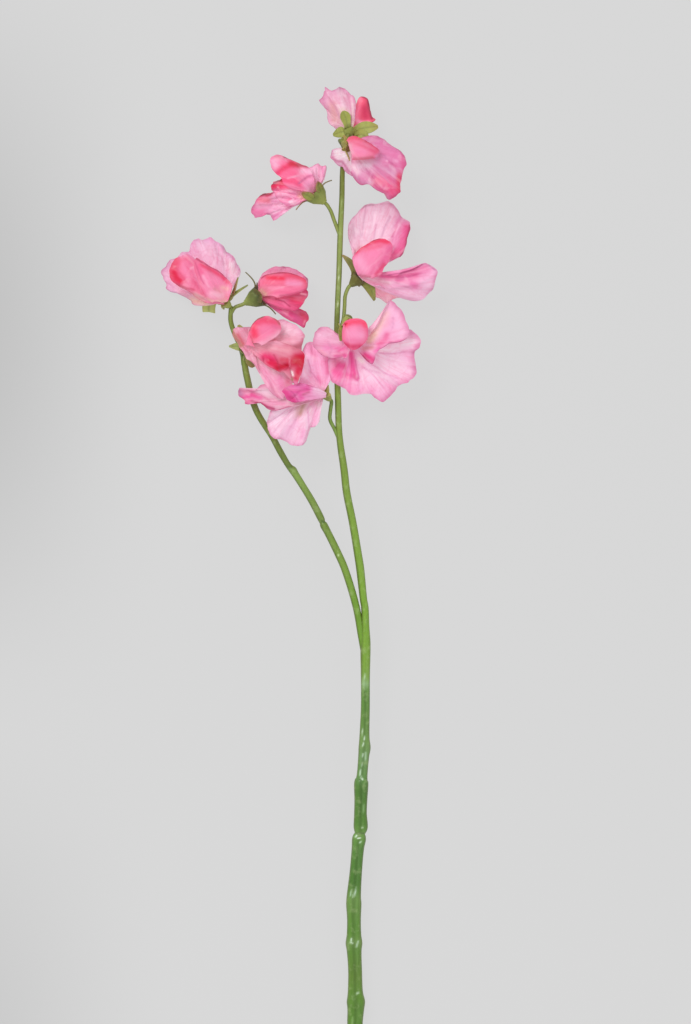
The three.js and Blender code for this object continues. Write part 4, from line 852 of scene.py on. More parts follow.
            # Painted light that hides the edge of the keel's shadow
            ("f8b8da", 0.85, 1.5, [(6.5, 85), (9.6, 84.4)]),
            ("f6aed2", 0.85, 1.8, [(6, 82), (8, 78), (8, 73)]),
            ("f2a4cc", 0.8, 2.0, [(2, 68), (1, 62.5)]),
            # A brown-peach streak of painted shade under the keel
            ("c49488", 0.85, 1.1, [(2.6, 84.6), (1.4, 81), (0, 77)]),
            ("dca0a8", 0.6, 1.4, [(-1, 80), (-1.4, 76)]),
            ("e0a4c4", 0.6, 0.4, [(-5, 80.5), (-10, 76.5), (-15, 73)]),
            ("e0a4c4", 0.5, 0.4, [(-4, 79), (-9, 73), (-13, 68)]),
            ("e0a4c4", 0.5, 0.4, [(-1, 76), (-5, 70), (-7, 65)]),
            ("e094bc", 0.6, 0.5, [(4, 80), (4.4, 70.5)]),
        ],
        "folds": [
            (0.5, 1.2, [(-2, 79), (-8, 71.5), (-11, 65)]),
            (-0.5, 1, [(0, 78), (-3, 69), (-4, 63)]),
            (0.5, 1, [(2, 78), (3, 66)]),
            (-0.5, 0.8, [(-4, 80), (-15, 73)]),
        ],
    },
    "wing_left_6": {
        "lift": 1.4, "layer": 3.7, "bulge": 0.07,
        "rim": [
            (-5, 91, 27.5), (-15, 92, 25.5), (-19, 91.75, 25.5), (-22, 89.25, 25), (-24.5, 88.25, 24.5),
            (-27, 89.5, 24), (-30.25, 90, 24), (-31, 88.5, 23), (-30, 85.75, 23), (-28, 83.75, 23.5),
            (-27, 81.75, 24.5), (-24.5, 82, 25.5), (-21.5, 82.75, 26.5), (-18.5, 81.5, 27.5),
            (-15, 79.25, 28.5), (-11, 79.25, 29.5), (-6, 80.75, 30.5),
        ],
        "colours": ("f0a6c8", "ecb7cb", "e584ac"),
        "tints": [
            ("c484ac", 0.8, 1.3, [(-30.5, 88.5), (-29.5, 86.5)]),
            ("ea5298", 0.85, 1.6, [(-28, 84.5), (-24, 86.5), (-20, 85)]),
            ("e8488c", 0.7, 0.8, [(-27, 82.6), (-24, 83.5)]),
            ("efc8da", 0.85, 2.0, [(-20, 88.3), (-13, 88)]),
            ("f4a0c6", 0.7, 1.4, [(-14, 82.5), (-8, 82)]),
            ("b83c68", 0.85, 0.6, [(-24, 83.2), (-20, 82.4), (-16.5, 80.6), (-13, 79.6)]),
            ("d8709c", 0.6, 0.6, [(-26, 88.8), (-20, 86.6), (-15, 83.5)]),
        ],
        "folds": [(-0.8, 1.3, [(-27, 87.5), (-20, 86), (-12, 83), (-7.5, 83)])],
    },
    "wing_right_6": {
        "layer": -1.1, "bulge": 0.1, "ruffle": 0.5, "waves": 2,
        "rim": [
            (-2, 89.5, 22.5), (-0.5, 93.5, 23.5), (1, 98, 24.5), (1.5, 102.5, 25.5), (1.25, 107.5, 25),
            (2.75, 111.5, 24.5), (5.5, 113.25, 24.5), (8.5, 112, 24.5), (11, 108, 24), (15, 104, 24),
            (16.5, 99, 23.5), (15.75, 95, 23.5), (13.5, 92, 23),
        ],
        # Its bright colours and light, and the palest tint below, are painted light against the shade of
        # the petals above it
        "colours": ("f4a8c8", "fbb4da", "f9acd4"), "light": 1.06,
        "tints": [
            ("fcc8e6", 0.8, 1.4, [(1.2, 111), (1.6, 106)]),
            ("ffd4ec", 0.97, 2.4, [(2.6, 105), (2.6, 96)]),
            ("e890b8", 0.75, 1.3, [(5, 112), (6.6, 108), (8, 104)]),
            ("f9b4d8", 0.7, 1.5, [(9, 104), (11, 100)]),
            ("f07cb0", 0.7, 1.6, [(13, 103), (13.6, 98)]),
            ("f284b8", 0.7, 1.3, [(9, 95), (10.4, 92)]),
            ("fcc0e0", 0.8, 1.6, [(6, 93), (9, 91)]),
            ("dc80b0", 0.6, 0.4, [(4, 104), (5.6, 98), (9, 93.6)]),
        ],
        "folds": [
            (-0.5, 0.75, [(6.5, 112.5), (6, 101.5), (11, 91.5)]),
            (0.5, 1, [(2.5, 109), (6, 96.5), (11, 89)]),
        ],
    },
    "keel_6": {
        "lift": 1.4, "layer": 4.8, "bulge": 0.18,
        "rim": [
            (4.5, 91, 31.5), (0.5, 92.25, 32), (-3.5, 91.5, 32.5), (-7, 90, 32.5), (-8.75, 88.25, 33),
            (-8, 86.25, 33), (-6, 84, 33), (-3, 82.75, 33), (-1.3, 83, 32.5), (0.6, 85.2, 32),
            (4, 87.2, 31.5),
        ],
        "colours": ("f8bcdc", "f49ac8", "ee6cac"), "light": 0.9, "crumple": 0.6, "edge": 0,
        "tints": [
            ("e4408a", 0.95, 1.7, [(-7.6, 88.4), (-5.4, 85.8), (-3, 83.4)]),
            ("f05ca6", 0.95, 2.4, [(-4, 89), (0, 88.4), (3.4, 89.4)]),
            ("f05ca6", 0.8, 1.6, [(-1, 87), (0.6, 84.6)]),
            ("f27cbc", 0.7, 0.9, [(-2, 90.8), (3, 91)]),
            ("d0648c", 0.7, 0.6, [(1.6, 86.6), (4.4, 87.8)]),
            # Painted light that offsets the shade on the right part of the keel
            ("ffc8e6", 0.97, 2.0, [(8, 89), (11, 88)]),
            ("d04c8c", 0.6, 0.4, [(-6.4, 89.6), (-3, 87), (-1, 83.4)]),
        ],
        "folds": [(-0.6, 0.8, [(-4, 84), (0, 88), (5, 89)])],
    },
    "standard_7": {
        "lift": 2.2, "layer": -1.3, "side": 0.4, "bulge": 0.05, "ruffle": 0.5, "waves": 4,
        "rim": [
            (-60, 153, 15), (-61, 156, 13.5), (-58.5, 157.75, 12.5), (-56, 159.25, 12),
            (-54.25, 162.25, 11), (-52.5, 164.5, 10.5), (-50, 165.25, 10), (-46.5, 165, 9.5),
            (-43.5, 163.5, 9), (-39.5, 161.5, 9.5), (-37, 159, 10.5), (-34.5, 156, 12),
            (-31.5, 153, 13.5), (-30.25, 150, 15), (-30, 147, 16.5), (-31.9, 143.75, 18),
        ],
        "colours": ("edb9c2", "f5b8d6", "eeaad0"), "light": 0.93, "crumple": 1, "edge": 0.5,
        "tints": [
            ("f9c8e0", 0.5, 3, [(-50, 161), (-44, 158)]),
            ("ec9cc4", 0.5, 2.0, [(-56, 157), (-52, 158)]),
            ("f3d0dc", 0.7, 2.5, [(-35, 152), (-33, 148)]),
            ("e29cbc", 0.5, 0.5, [(-49, 164), (-46, 158)]),
            ("e29cbc", 0.5, 0.5, [(-43, 162), (-41, 156)]),
            ("e0a0bc", 0.5, 0.5, [(-38, 158), (-37, 152)]),
            ("e8a8c4", 0.5, 0.8, [(-46, 160), (-42, 153)]),
            ("c88cac", 0.5, 0.5, [(-40, 161.5), (-36, 157.5), (-32, 153), (-30.5, 149)]),
        ],
        "folds": [
            (0.5, 1, [(-47.5, 162), (-42, 155)]),
            (-0.5, 1, [(-42, 161), (-37, 152)]),
            (0.4, 1, [(-37, 156), (-34, 147)]),
        ],
    },
    "keel_7": {
        "lift": 2, "layer": 3, "bulge": 0.25,
        "rim": [
            (-43.5, 132.5, 29), (-47, 135.5, 29.5), (-49.5, 140, 30.5), (-51, 144.5, 30.5),
            (-52.5, 149, 30), (-52.75, 153, 28.5), (-51.5, 154.75, 27.5), (-49, 153.5, 27),
            (-46, 151.25, 26.5), (-42, 149, 26.5), (-39, 147, 26.5), (-36.25, 144.25, 27),
            (-33.75, 141, 28.8), (-34.5, 137.5, 29.5), (-36, 134.25, 29.5),
        ],
        "colours": ("f2a0ac", "f284ac", "ee7298"), "light": 0.98, "crumple": 0.4, "edge": 0.15,
        "tints": [
            ("e8466e", 0.85, 1.1, [(-49.4, 151.4), (-44, 148.6), (-39.5, 145.8), (-36, 142.6)]),
            ("ee6494", 0.8, 1.4, [(-50.4, 150.4), (-49, 147)]),
            ("f688b2", 0.8, 2.0, [(-46, 144), (-42, 143)]),
            ("d0507c", 0.5, 0.45, [(-52.3, 152.5), (-50, 146), (-48, 142)]),
            ("faa8c8", 0.7, 0.8, [(-48.4, 146), (-45.6, 140.5)]),
            ("f8b4cc", 0.85, 2.0, [(-44, 137), (-40, 136)]),
            ("ecb4ac", 0.9, 1.0, [(-46.6, 134.2), (-43, 132.8), (-38, 132.8)]),
            ("f4b4b0", 0.7, 1.2, [(-38.6, 140), (-36.2, 139.4)]),
            ("e08c98", 0.5, 0.5, [(-43, 139.4), (-39, 137.6)]),
            (
                "b03c60", 0.65, 0.4,
                [(-52, 154.6), (-49.5, 152.9), (-45, 150.5), (-40, 147.7), (-36.5, 144.6)],
            ),
        ],
        "folds": [
            (-0.5, 1.0, [(-51, 152), (-48.5, 144), (-45, 138)]),
            (0.5, 1, [(-47, 149), (-43, 140)]),
        ],
    },
    "wing_left_7": {
        "lift": 1.3, "layer": 1.1, "side": -0.3, "bulge": 0.22,
        "rim": [
            (-47.5, 132.5, 23.5), (-51, 134.75, 24), (-54, 137.25, 24), (-58, 139.5, 24),
            (-61.75, 141.75, 23.5), (-64.5, 144.5, 22.5), (-65.5, 147.5, 21.5), (-64.5, 151.25, 20.5),
            (-62.5, 154, 20), (-60, 155.75, 20), (-57, 156.75, 20), (-53.5, 155.25, 20.5),
            (-52, 152.5, 21),
        ],
        "colours": ("f494b4", "f87ca6", "f0607e"), "light": 0.91, "crumple": 0.6, "edge": 0.2,
        "tints": [
            ("f590ba", 0.9, 1.6, [(-59.5, 156), (-56, 156.6), (-53, 155)]),
            ("f4587c", 0.9, 1.8, [(-63.4, 150.5), (-61, 152.5)]),
            ("e4204a", 0.97, 1.9, [(-63, 147.5), (-61.5, 144.6), (-60, 143.5)]),
            ("fc8cb6", 0.85, 2.2, [(-58, 152), (-55.6, 145)]),
            ("ee74a0", 0.6, 0.6, [(-55.5, 153), (-53, 146), (-50.4, 141)]),
            ("fb98c0", 0.8, 1.0, [(-53.4, 150), (-51, 144), (-49, 140)]),
            ("f05c84", 0.7, 0.9, [(-60, 147), (-57.4, 143.6)]),
            ("d04c6c", 0.6, 0.6, [(-61, 141.8), (-57, 140), (-53, 139)]),
            ("f4b0b4", 0.85, 1.6, [(-52, 136.5), (-48, 134)]),
        ],
        "folds": [
            (-0.5, 1.0, [(-57, 154), (-54, 146), (-50, 140)]),
            (0.5, 1.0, [(-61, 150), (-55, 142)]),
        ],
    },
    "wing_right_7": {
        "lift": 1.5, "layer": -2.2, "side": -0.6, "bulge": 0.03, "ruffle": 0.4, "waves": 3,
        "rim": [
            (-45.5, 131.5, 17), (-50, 131.25, 14.5), (-53.5, 132, 12), (-55.5, 134, 10), (-58.5, 136, 8),
            (-61.5, 137.75, 6), (-65, 138.5, 4.5), (-67, 140, 3), (-67.5, 142.75, 2), (-68.75, 145.25, 1),
            (-70, 147.75, 0.4), (-68.25, 150, 0.8), (-67, 152.5, 1.5), (-65, 154.75, 3), (-61, 155, 6),
        ],
        "colours": ("f1c3b8", "f0b0cc", "dd9cc0"),
        "tints": [
            ("f4bcd8", 0.7, 2.0, [(-68, 147), (-66, 142)]),
            ("e6a0c4", 0.6, 1.0, [(-66, 144), (-63, 139.5)]),
            ("f0a4bc", 0.6, 1.2, [(-60, 138), (-56, 136)]),
            ("f4c8b8", 0.85, 2.0, [(-54, 134), (-47, 132.5)]),
            ("c486ac", 0.6, 0.5, [(-67, 139), (-62, 137.6), (-58, 135.6), (-54.5, 133.6)]),
        ],
        "folds": [
            (0.5, 1, [(-67, 144), (-57.5, 138), (-47.5, 135)]),
            (-0.5, 1, [(-65, 139), (-55, 134)]),
        ],
    },
    "standard_8": {
        "layer": -2, "bulge": 0.15, "ruffle": 0.4, "waves": 3,
        "rim": [
            (-20.5, 141.5, 20), (-20.25, 144.25, 18.5), (-18.75, 147.25, 16.5), (-16, 149.25, 15),
            (-12.5, 150.5, 13.5), (-8.5, 151, 12), (-4.5, 150.5, 11), (-1, 148.75, 10), (2, 146.75, 9.5),
            (3.75, 143.5, 8.5), (3.75, 139, 8), (1.5, 134, 7.5),
        ],
        "colours": ("d97f9f", "ea8fb2", "e68cb2"),
        "tints": [
            ("dd7098", 0.6, 0.8, [(-19, 147.6), (-15, 148.6)]),
            ("f0a4c4", 0.6, 0.8, [(-11, 149.8), (-5, 149.8)]),
        ],
    },
    "keel_8": {
        "layer": 2, "bulge": 0.3,
        "rim": [
            (-20.5, 141, 25.5), (-19.25, 145, 23.5), (-16.5, 146.75, 23), (-12.5, 147.5, 23),
            (-8, 147.75, 23), (-3.5, 147, 23.5), (0, 145.75, 24), (2.75, 143.75, 25), (3.75, 141, 27),
            (2, 138.5, 29), (-2, 136.75, 30.5), (-7, 136, 31), (-11.5, 135, 30.5),
        ],
        "colours": ("ea8496", "f77ba2", "ec6688"), "light": 0.94, "crumple": 0.35, "edge": 0.5,
        "tints": [
            ("f23456", 0.95, 1.3, [(-16, 145), (-12.5, 144.8), (-8.4, 144.6)]),
            ("f04c70", 0.85, 1.4, [(-7, 146), (-2, 145.8), (2.5, 143.8)]),
            ("fa98c2", 0.85, 1.5, [(-6, 142), (0, 141.8)]),
            ("f7688c", 0.7, 1.2, [(-18, 142.6), (-9, 141.8)]),
            ("fc94b8", 0.7, 1.1, [(-15, 139.6), (-9, 140)]),
            ("eab0a0", 0.85, 1.2, [(-19.5, 138.5), (-17.5, 136.8)]),
            ("f4709c", 0.8, 1.3, [(-12, 137), (-5, 138), (1, 139)]),
            ("d04c78", 0.7, 0.5, [(-10, 136), (-3, 137), (3, 139.2)]),
            ("b83858", 0.8, 0.5, [(-19.5, 144.8), (-17, 146.6), (-12, 147.4), (-6, 147.6), (-1, 146.4)]),
            ("e8688c", 0.5, 0.5, [(-17, 141), (-10, 141.2), (-4, 140.2)]),
        ],
        "folds": [
            (-0.3, 1.1, [(-16, 142), (-6, 143), (2, 142.5)]),
            (0.2, 1.1, [(-15, 139.4), (-6, 140.2), (2, 140)]),
        ],
    },
    "wing_left_8": {
        "layer": 0.7, "bulge": 0.2,
        "rim": [
            (0, 140.5, 23), (3.25, 139.5, 23.5), (3.75, 137, 24), (2.75, 134, 24), (0.75, 131, 24),
            (-1.5, 129.25, 24), (-5.5, 128.5, 24), (-9.5, 129.5, 23.5), (-13.5, 131.25, 23),
        ],
        "colours": ("cc7080", "e6608e", "de5080"), "light": 1.08, "edge": 0.6,
        "tints": [
            ("ec4070", 0.9, 1.8, [(-3.6, 134), (0, 132.6), (1.6, 135)]),
            ("f880ac", 0.85, 1.2, [(-9.4, 134), (-7, 132)]),
            # A painted highlight on the rim fold
            ("ffc0d0", 0.85, 0.5, [(0.5, 137), (3, 136.6)]),
            ("f47ca6", 0.7, 1.0, [(-14, 135.6), (-9, 136)]),
            ("c83c64", 0.7, 0.45, [(-6, 135.4), (-2, 136.4), (2.4, 136)]),
            ("b03058", 0.6, 0.4, [(-12, 134.4), (-8, 133.2), (-5, 130.6)]),
        ],
        "folds": [(-0.6, 0.9, [(-12, 135), (-2, 136)]), (0.5, 0.9, [(-10, 133), (-2, 132)])],
    },
    "wing_right_8": {
        "layer": -0.7, "bulge": 0.1,
        "rim": [
            (-2, 130, 18.5), (1, 129.25, 18), (3, 128.25, 18), (4.25, 125.5, 17.5), (3.5, 123, 17),
            (2.25, 120.5, 16.5), (-0.5, 121.5, 17), (-4.5, 123.75, 17), (-8.5, 126, 17.5),
            (-11.5, 129, 18),
        ],
        "colours": ("c87484", "e6649a", "de5888"), "light": 1.03, "edge": 0.6,
        "tints": [
            ("f25c9c", 0.8, 2.0, [(-9, 129.4), (-4, 126)]),
            ("e04068", 0.9, 1.8, [(1, 127.5), (3, 124.5)]),
            ("fa9cb4", 0.85, 0.5, [(2.4, 123.6), (1.8, 122)]),
            ("d0386c", 0.7, 0.6, [(-10, 131), (-4, 129.4), (0, 129)]),
            ("ff90bc", 0.6, 0.7, [(-8, 127.6), (-4, 124.6)]),
        ],
        "folds": [(-0.5, 1, [(-7.5, 131.5), (1, 126)]), (0.4, 0.7, [(-10, 129), (-2, 124)])],
    },
    "standard_9": {
        "lift": 0.9, "layer": -0.4, "side": 0.6, "bulge": -0.02, "ruffle": 0.4, "waves": 4,
        "rim": [
            (-17, 121.5, 27), (-10.5, 124, 26), (-7, 123.5, 25.5), (-3.5, 122.5, 25.5), (-0.5, 120, 26),
            (1.75, 117, 27), (2.25, 114, 27.5), (0.75, 110, 28), (0, 104, 28.5), (-1.5, 98, 29),
            (-3.5, 92, 29.5), (-6, 88, 30), (-8, 84.75, 30), (-10.5, 84.75, 30), (-13.5, 87, 29.5),
            (-16, 89.5, 29.5), (-17.5, 93, 29), (-20, 98, 28.5), (-21.75, 102, 28),
        ],
        "colours": ("f6c0c8", "f4b4cc", "ee9cc0"), "light": 0.98, "edge": 0.6,
        "tints": [
            ("f6c4d8", 0.9, 3.6, [(-8, 119.6), (-3, 118)]),
            ("f4b0c4", 0.95, 2.4, [(-17, 112), (-12, 113.5), (-8, 115)]),
            ("f4acbc", 0.95, 1.8, [(-14, 110), (-6, 111.4)]),
            ("f0a0b8", 0.7, 2.2, [(-6, 113.4), (-2, 114)]),
            ("d88098", 0.8, 1.2, [(2, 116), (1, 112), (0, 110)]),
            ("cc6c80", 0.85, 1.6, [(0, 111.4), (-2.4, 110)]),
            ("e0a0b4", 0.7, 0.45, [(-13.5, 117), (-10, 116.2), (-7, 117.2), (-5.4, 115.6)]),
            ("f69cc6", 0.7, 3.0, [(-18, 99), (-14, 92)]),
            ("f080b4", 0.7, 2.2, [(-10, 95), (-9, 90)]),
            ("e47898", 0.7, 1.5, [(-6, 97), (-6, 92)]),
            ("e890b4", 0.5, 0.5, [(-19, 103), (-16, 95), (-13, 88)]),
        ],
        "folds": [
            (0.4, 1.25, [(-12.5, 116), (-5, 118), (-1, 121)]),
            (2.2, 3.0, [(-11, 112.5), (-1, 112)]),
            (0.5, 1.25, [(-16, 99), (-15, 88)]),
        ],
    },
    "keel_9": {
        "lift": 3.4, "layer": -0.2, "side": -0.9, "bulge": 0.38,
        "rim": [
            (-22, 110, 35), (-24.25, 114, 34), (-25.25, 118, 33), (-24, 121.25, 32), (-21.5, 124, 31),
            (-18.5, 125.5, 30.5), (-15.5, 125.75, 30), (-12.5, 124.5, 30), (-10, 122, 30.5),
            (-9.25, 119, 31.5), (-11, 116, 33), (-15, 113.5, 34.5), (-19, 111, 35.5),
        ],
        "colours": ("f8a0b8", "f984ac", "f47498"), "light": 0.93, "edge": 0,
        "tints": [
            ("f4507a", 0.9, 2.2, [(-22, 122), (-18, 123.5), (-12.6, 122.4)]),
            ("fb4068", 0.95, 2.2, [(-23.2, 119.8), (-22.5, 116.4)]),
            ("ee4c74", 0.8, 1.3, [(-19.4, 124), (-16, 123.6)]),
            ("f67ca8", 0.8, 2.4, [(-18, 118.6), (-14, 119.4)]),
            ("ee6c9a", 0.8, 1.0, [(-13, 120.6), (-10.6, 119.4)]),
            ("f4a4c0", 0.95, 1.6, [(-10.5, 117.6), (-12, 115.6), (-15, 113.8)]),
            ("f6a0be", 0.95, 1.8, [(-20.6, 111.4), (-16, 113)]),
            ("8c4450", 0.7, 0.4, [(-25.2, 118.6), (-24, 121.6), (-21.4, 124.2), (-18, 125.6)]),
            ("98805c", 0.5, 0.4, [(-24.8, 121), (-22.4, 123.8), (-18.6, 125.4)]),
            ("a4605c", 0.6, 0.4, [(-14.4, 125.4), (-11.6, 123.6), (-10.2, 121.6)]),
        ],
    },
    "wing_left_9": {
        "claw": (-22.5, 109.5, 28.6), "bulge": 0.12, "ruffle": 0.3, "waves": 3,
        "rim": [
            (-20.5, 118, 28), (-25, 120.5, 28), (-28, 120.25, 28.5), (-31, 120, 28.5), (-33.75, 119, 28),
            (-33.5, 116, 28.5), (-31, 112.5, 29), (-29.5, 109.25, 29.5), (-27.75, 106, 29.5),
            (-25, 103.5, 30), (-22, 100.75, 30.5), (-20, 97, 31),
        ],
        "colours": ("f0a0b4", "f6a2be", "f2a4be"), "light": 0.88, "crumple": 0.7, "edge": 0.6,
        "tints": [
            ("f9b8d0", 0.7, 1.8, [(-26, 117), (-23, 109)]),
            ("e06878", 0.8, 1.0, [(-31, 116.5), (-28.5, 112)]),
            ("c07c68", 0.8, 1.1, [(-33.6, 117.6), (-31.6, 114.2), (-29.4, 111)]),
            ("e088a4", 0.6, 0.5, [(-26, 119), (-24.5, 113), (-22, 106)]),
            ("f8b4cc", 0.7, 1.0, [(-25.5, 107), (-22, 103)]),
            ("d890b0", 0.5, 0.6, [(-30, 119.8), (-25, 120)]),
        ],
        "folds": [(0.5, 0.9, [(-32, 118), (-28, 109), (-23, 101)]), (-0.5, 0.7, [(-26, 119), (-22, 106)])],
    },
    "wing_right_9": {
        "lift": 2.5, "layer": -1.4, "side": 0.4, "bulge": 0.05,
        "rim": [
            (-19, 106, 33.5), (-18.25, 103, 34), (-15.5, 100.5, 34.5), (-12.5, 99.25, 35), (-10, 98, 35),
            (-7.5, 98.5, 35), (-5.5, 100.5, 35), (-4.75, 97, 35), (-3.75, 93.5, 35), (-2, 91.5, 34.5),
            (-0.25, 94.5, 34.5), (1.25, 99, 34.5), (2.25, 103.5, 34.5), (1.75, 107.5, 34.3),
            (-2, 110, 33.8), (-7, 112, 33.4), (-12.5, 113.6, 33.2),
        ],
        "colours": ("f4a4b8", "e4809a", "da6c88"), "light": 0.96, "crumple": 0.35, "edge": 0,
        "tints": [
            ("f5a6be", 0.9, 2.2, [(-24, 109), (-20, 107)]),
            ("f4a8c0", 0.95, 2.2, [(-20, 112), (-10, 112.6)]),
            ("f0a0b4", 0.9, 1.4, [(-20, 109.6), (-12, 109.6)]),
            ("ec94a8", 0.9, 1.3, [(-9.4, 109.2), (-5, 109)]),
            ("d07084", 0.9, 1.4, [(-3, 110.2), (1.5, 109.6)]),
            ("ea3472", 0.97, 2.2, [(-17.6, 105.6), (-15.4, 105), (-13.6, 104)]),
            ("e21a4e", 0.97, 2.0, [(-15, 102.4), (-12.4, 101.6)]),
            ("c60830", 0.97, 1.8, [(-11, 99.8), (-8, 100.6), (-6, 101.3)]),
            ("da4a66", 0.9, 1.4, [(-9, 104), (-5.8, 103.8)]),
            ("c80028", 1, 2.6, [(-2.4, 103.2), (0.4, 102.4), (1.2, 104)]),
            ("cc0834", 0.97, 1.8, [(-1.6, 105), (1.6, 105.2), (1.2, 100)]),
            ("d82048", 0.95, 1.5, [(-0.8, 99), (-1.6, 95)]),
            ("e08ca4", 0.9, 1.7, [(-8.4, 96.8), (-6, 95)]),
            ("e4809a", 0.8, 0.45, [(-5.2, 104.6), (-5, 100.4)]),
            ("fff4f4", 1, 0.45, [(-4, 98), (-3.4, 96)]),
            ("a8986c", 0.8, 0.45, [(-4, 94.6), (-3.6, 93)]),
            ("ea7aac", 0.8, 1.2, [(-3, 92.5), (-1, 92)]),
            ("b02848", 0.5, 0.35, [(-13, 106.4), (-11.4, 103.6), (-10.6, 101), (-9.6, 98.4)]),
        ],
        "folds": [
            (-0.5, 1, [(-19, 104), (-11, 103), (-5, 100)]),
            (0.3, 1, [(-5, 106), (-4.6, 100)]),
        ],
    },
}


# Colour


def screen(code):
    """A colour written as six hexadecimal digits, as the screen shows it."""
    return np.array([int(code[i : i + 2], 16) / 255 for i in (0, 2, 4)])


def to_linear(colours):
    low = colours / 12.92
    high = ((colours + 0.055) / 1.055) ** 2.4
    return np.where(colours < 0.04045, low, high)


def rgba(code):
    return (*to_linear(screen(code)), 1.0)


def toward(colours, target, weights):
    """Colours moved towards a target by the weight of each place."""
    return colours + (target - colours) * weights[..., None]


def tones_along(tones, at):
    """Colours interpolated in a table of places and colours."""
    places = [place for place, _ in tones]
    colours = np.array([screen(code) for _, code in tones])
    return np.stack([np.interp(at, places, colours[:, i]) for i in range(3)], axis=-1)


# Curves and surfaces


def unit(vectors):
    length = np.linalg.norm(vectors, axis=-1, keepdims=True)
    return vectors / np.maximum(length, 1e-9)


def ramp(values, start, end):
    """0 up to start, 1 from end on and straight between."""
    return np.clip((values - start) / (end - start), 0, 1)


def bump(distance, width):
    """1 at no distance, falling away smoothly over the width."""
    return np.exp(-((distance / width) ** 2))


def bend(start, knee, end, t):
    """A curve from start to end that leans towards the knee."""
    return start * (1 - t) ** 2 + knee * 2 * t * (1 - t) + end * t**2


def spline(points, at):
    """A centripetal Catmull-Rom curve through the points, at places from 0 to 1."""
    points = np.asarray(points, float)
    last = len(points) - 1
    padded = np.vstack([2 * points[0] - points[1], points, 2 * points[-1] - points[-2]])
    place = np.clip(np.asarray(at, float), 0, 1) * last
    first = np.minimum(place.astype(int), last - 1)
    weight = (place - first)[..., None]
    p0, p1, p2, p3 = (padded[first + i] for i in range(4))
    spans = (p1 - p0, p2 - p1, p3 - p2)
    d0, d1, d2 = (np.sqrt(np.linalg.norm(span, axis=-1, keepdims=True)) for span in spans)
    leave = ((p1 - p0) / d0 - (p2 - p0) / (d0 + d1) + (p2 - p1) / d1) * d1
    arrive = ((p2 - p1) / d1 - (p3 - p1) / (d1 + d2) + (p3 - p2) / d2) * d1
    cubic = 2 * p1 - 2 * p2 + leave + arrive
    square = -3 * p1 + 3 * p2 - 2 * leave - arrive
    return p1 + weight * (leave + weight * (square + weight * cubic))


def distance_to_line(places, line):
    """How far each place lies from a line of points, seen from above."""
    flat = places[..., :2]
    line = np.asarray(line, float)
    if len(line) == 1:
        return np.linalg.norm(flat - line[0], axis=-1)
    nearest = np.full(flat.shape[:-1], np.inf)
    for start, end in zip(line[:-1], line[1:]):
        run = end - start
        along = np.clip(((flat - start) @ run) / (run @ run), 0, 1)
        nearest = np.minimum(nearest, np.linalg.norm(flat - start - along[..., None] * run, axis=-1))
    return nearest


def bloom_axes(calyx):
    """Foot and mouth of a calyx, the axis between them and two directions across it."""
    foot = np.array(calyx["base"], float)
    mouth = np.array(calyx["mouth"], float)
    axis = unit(mouth - foot)
    upward = unit(np.array([0.0, 0.0, 1.0]) - axis * axis[2])
    return foot, mouth, axis, upward, np.cross(axis, upward)


# Petals


def petal_claw(petal, calyx):
    """Where a petal leaves the calyx."""
    _, mouth, axis, upward, sideways = bloom_axes(calyx)
    claw = mouth + axis * petal.get("lift", CLAW_LIFT)
    claw = np.array(petal["claw"], float) if "claw" in petal else claw
    return claw + upward * petal.get("layer", 0) + sideways * petal.get("side", 0)


def petal_surface(petal, claw, seed, crumple):
    """The middle surface of a petal as a grid of points, its u and v, and its front direction."""
    rim = np.array(petal["rim"], float)
    columns = (len(rim) - 1) * COLUMNS_PER_POINT
    u, v = np.meshgrid(np.linspace(0, 1, columns + 1), np.linspace(0, 1, PETAL_ROWS + 1))
    across = unit(rim[-1] - rim[0])
    spokes = rim - claw
    front = unit(np.cross(spokes[1:], spokes[:-1]).sum(axis=0))
    upper = front * np.sign(front[2])
    root = claw + (u[..., None] - 0.5) * CLAW_WIDTH * across
    tip = spline(rim, u)
    calm = np.mean([spline(rim, u + offset) for offset in CALM_OFFSETS], axis=0)
    reach = calm - root
    length = np.linalg.norm(reach, axis=-1, keepdims=True)
    outward = unit(upper - reach * (reach @ upper)[..., None] / length**2)
    knee = petal["throat"] if "throat" in petal else root + 0.5 * reach
    knee = knee + outward * petal.get("bulge", 0) * length
    knee = knee + across * (u[..., None] - 0.5) * petal.get("flare", FLARE) * length
    t = v[..., None]
    place = bend(root, knee, calm, t) + (tip - calm) * t**RIM_GRIP
    waves = petal.get("ruffle", 0) * np.sin(2 * np.pi * petal.get("waves", 3) * u)
    place = place + outward * waves[..., None] * t**3
    relief = wrinkles(u, v, seed, len(rim)) * crumple
    for depth, width, line in petal.get("folds", []):
        relief = relief + depth * ramp(v, 0, FOLDS_FROM) * bump(distance_to_line(place, line), width)
    place = place + outward * relief[..., None]
    place = place + unit(reach) * crumple * ragged(u, v, seed, len(rim))[..., None]
    place[..., 2] = np.maximum(place[..., 2], FLOOR_CLEARANCE)
    return place, u, v, front


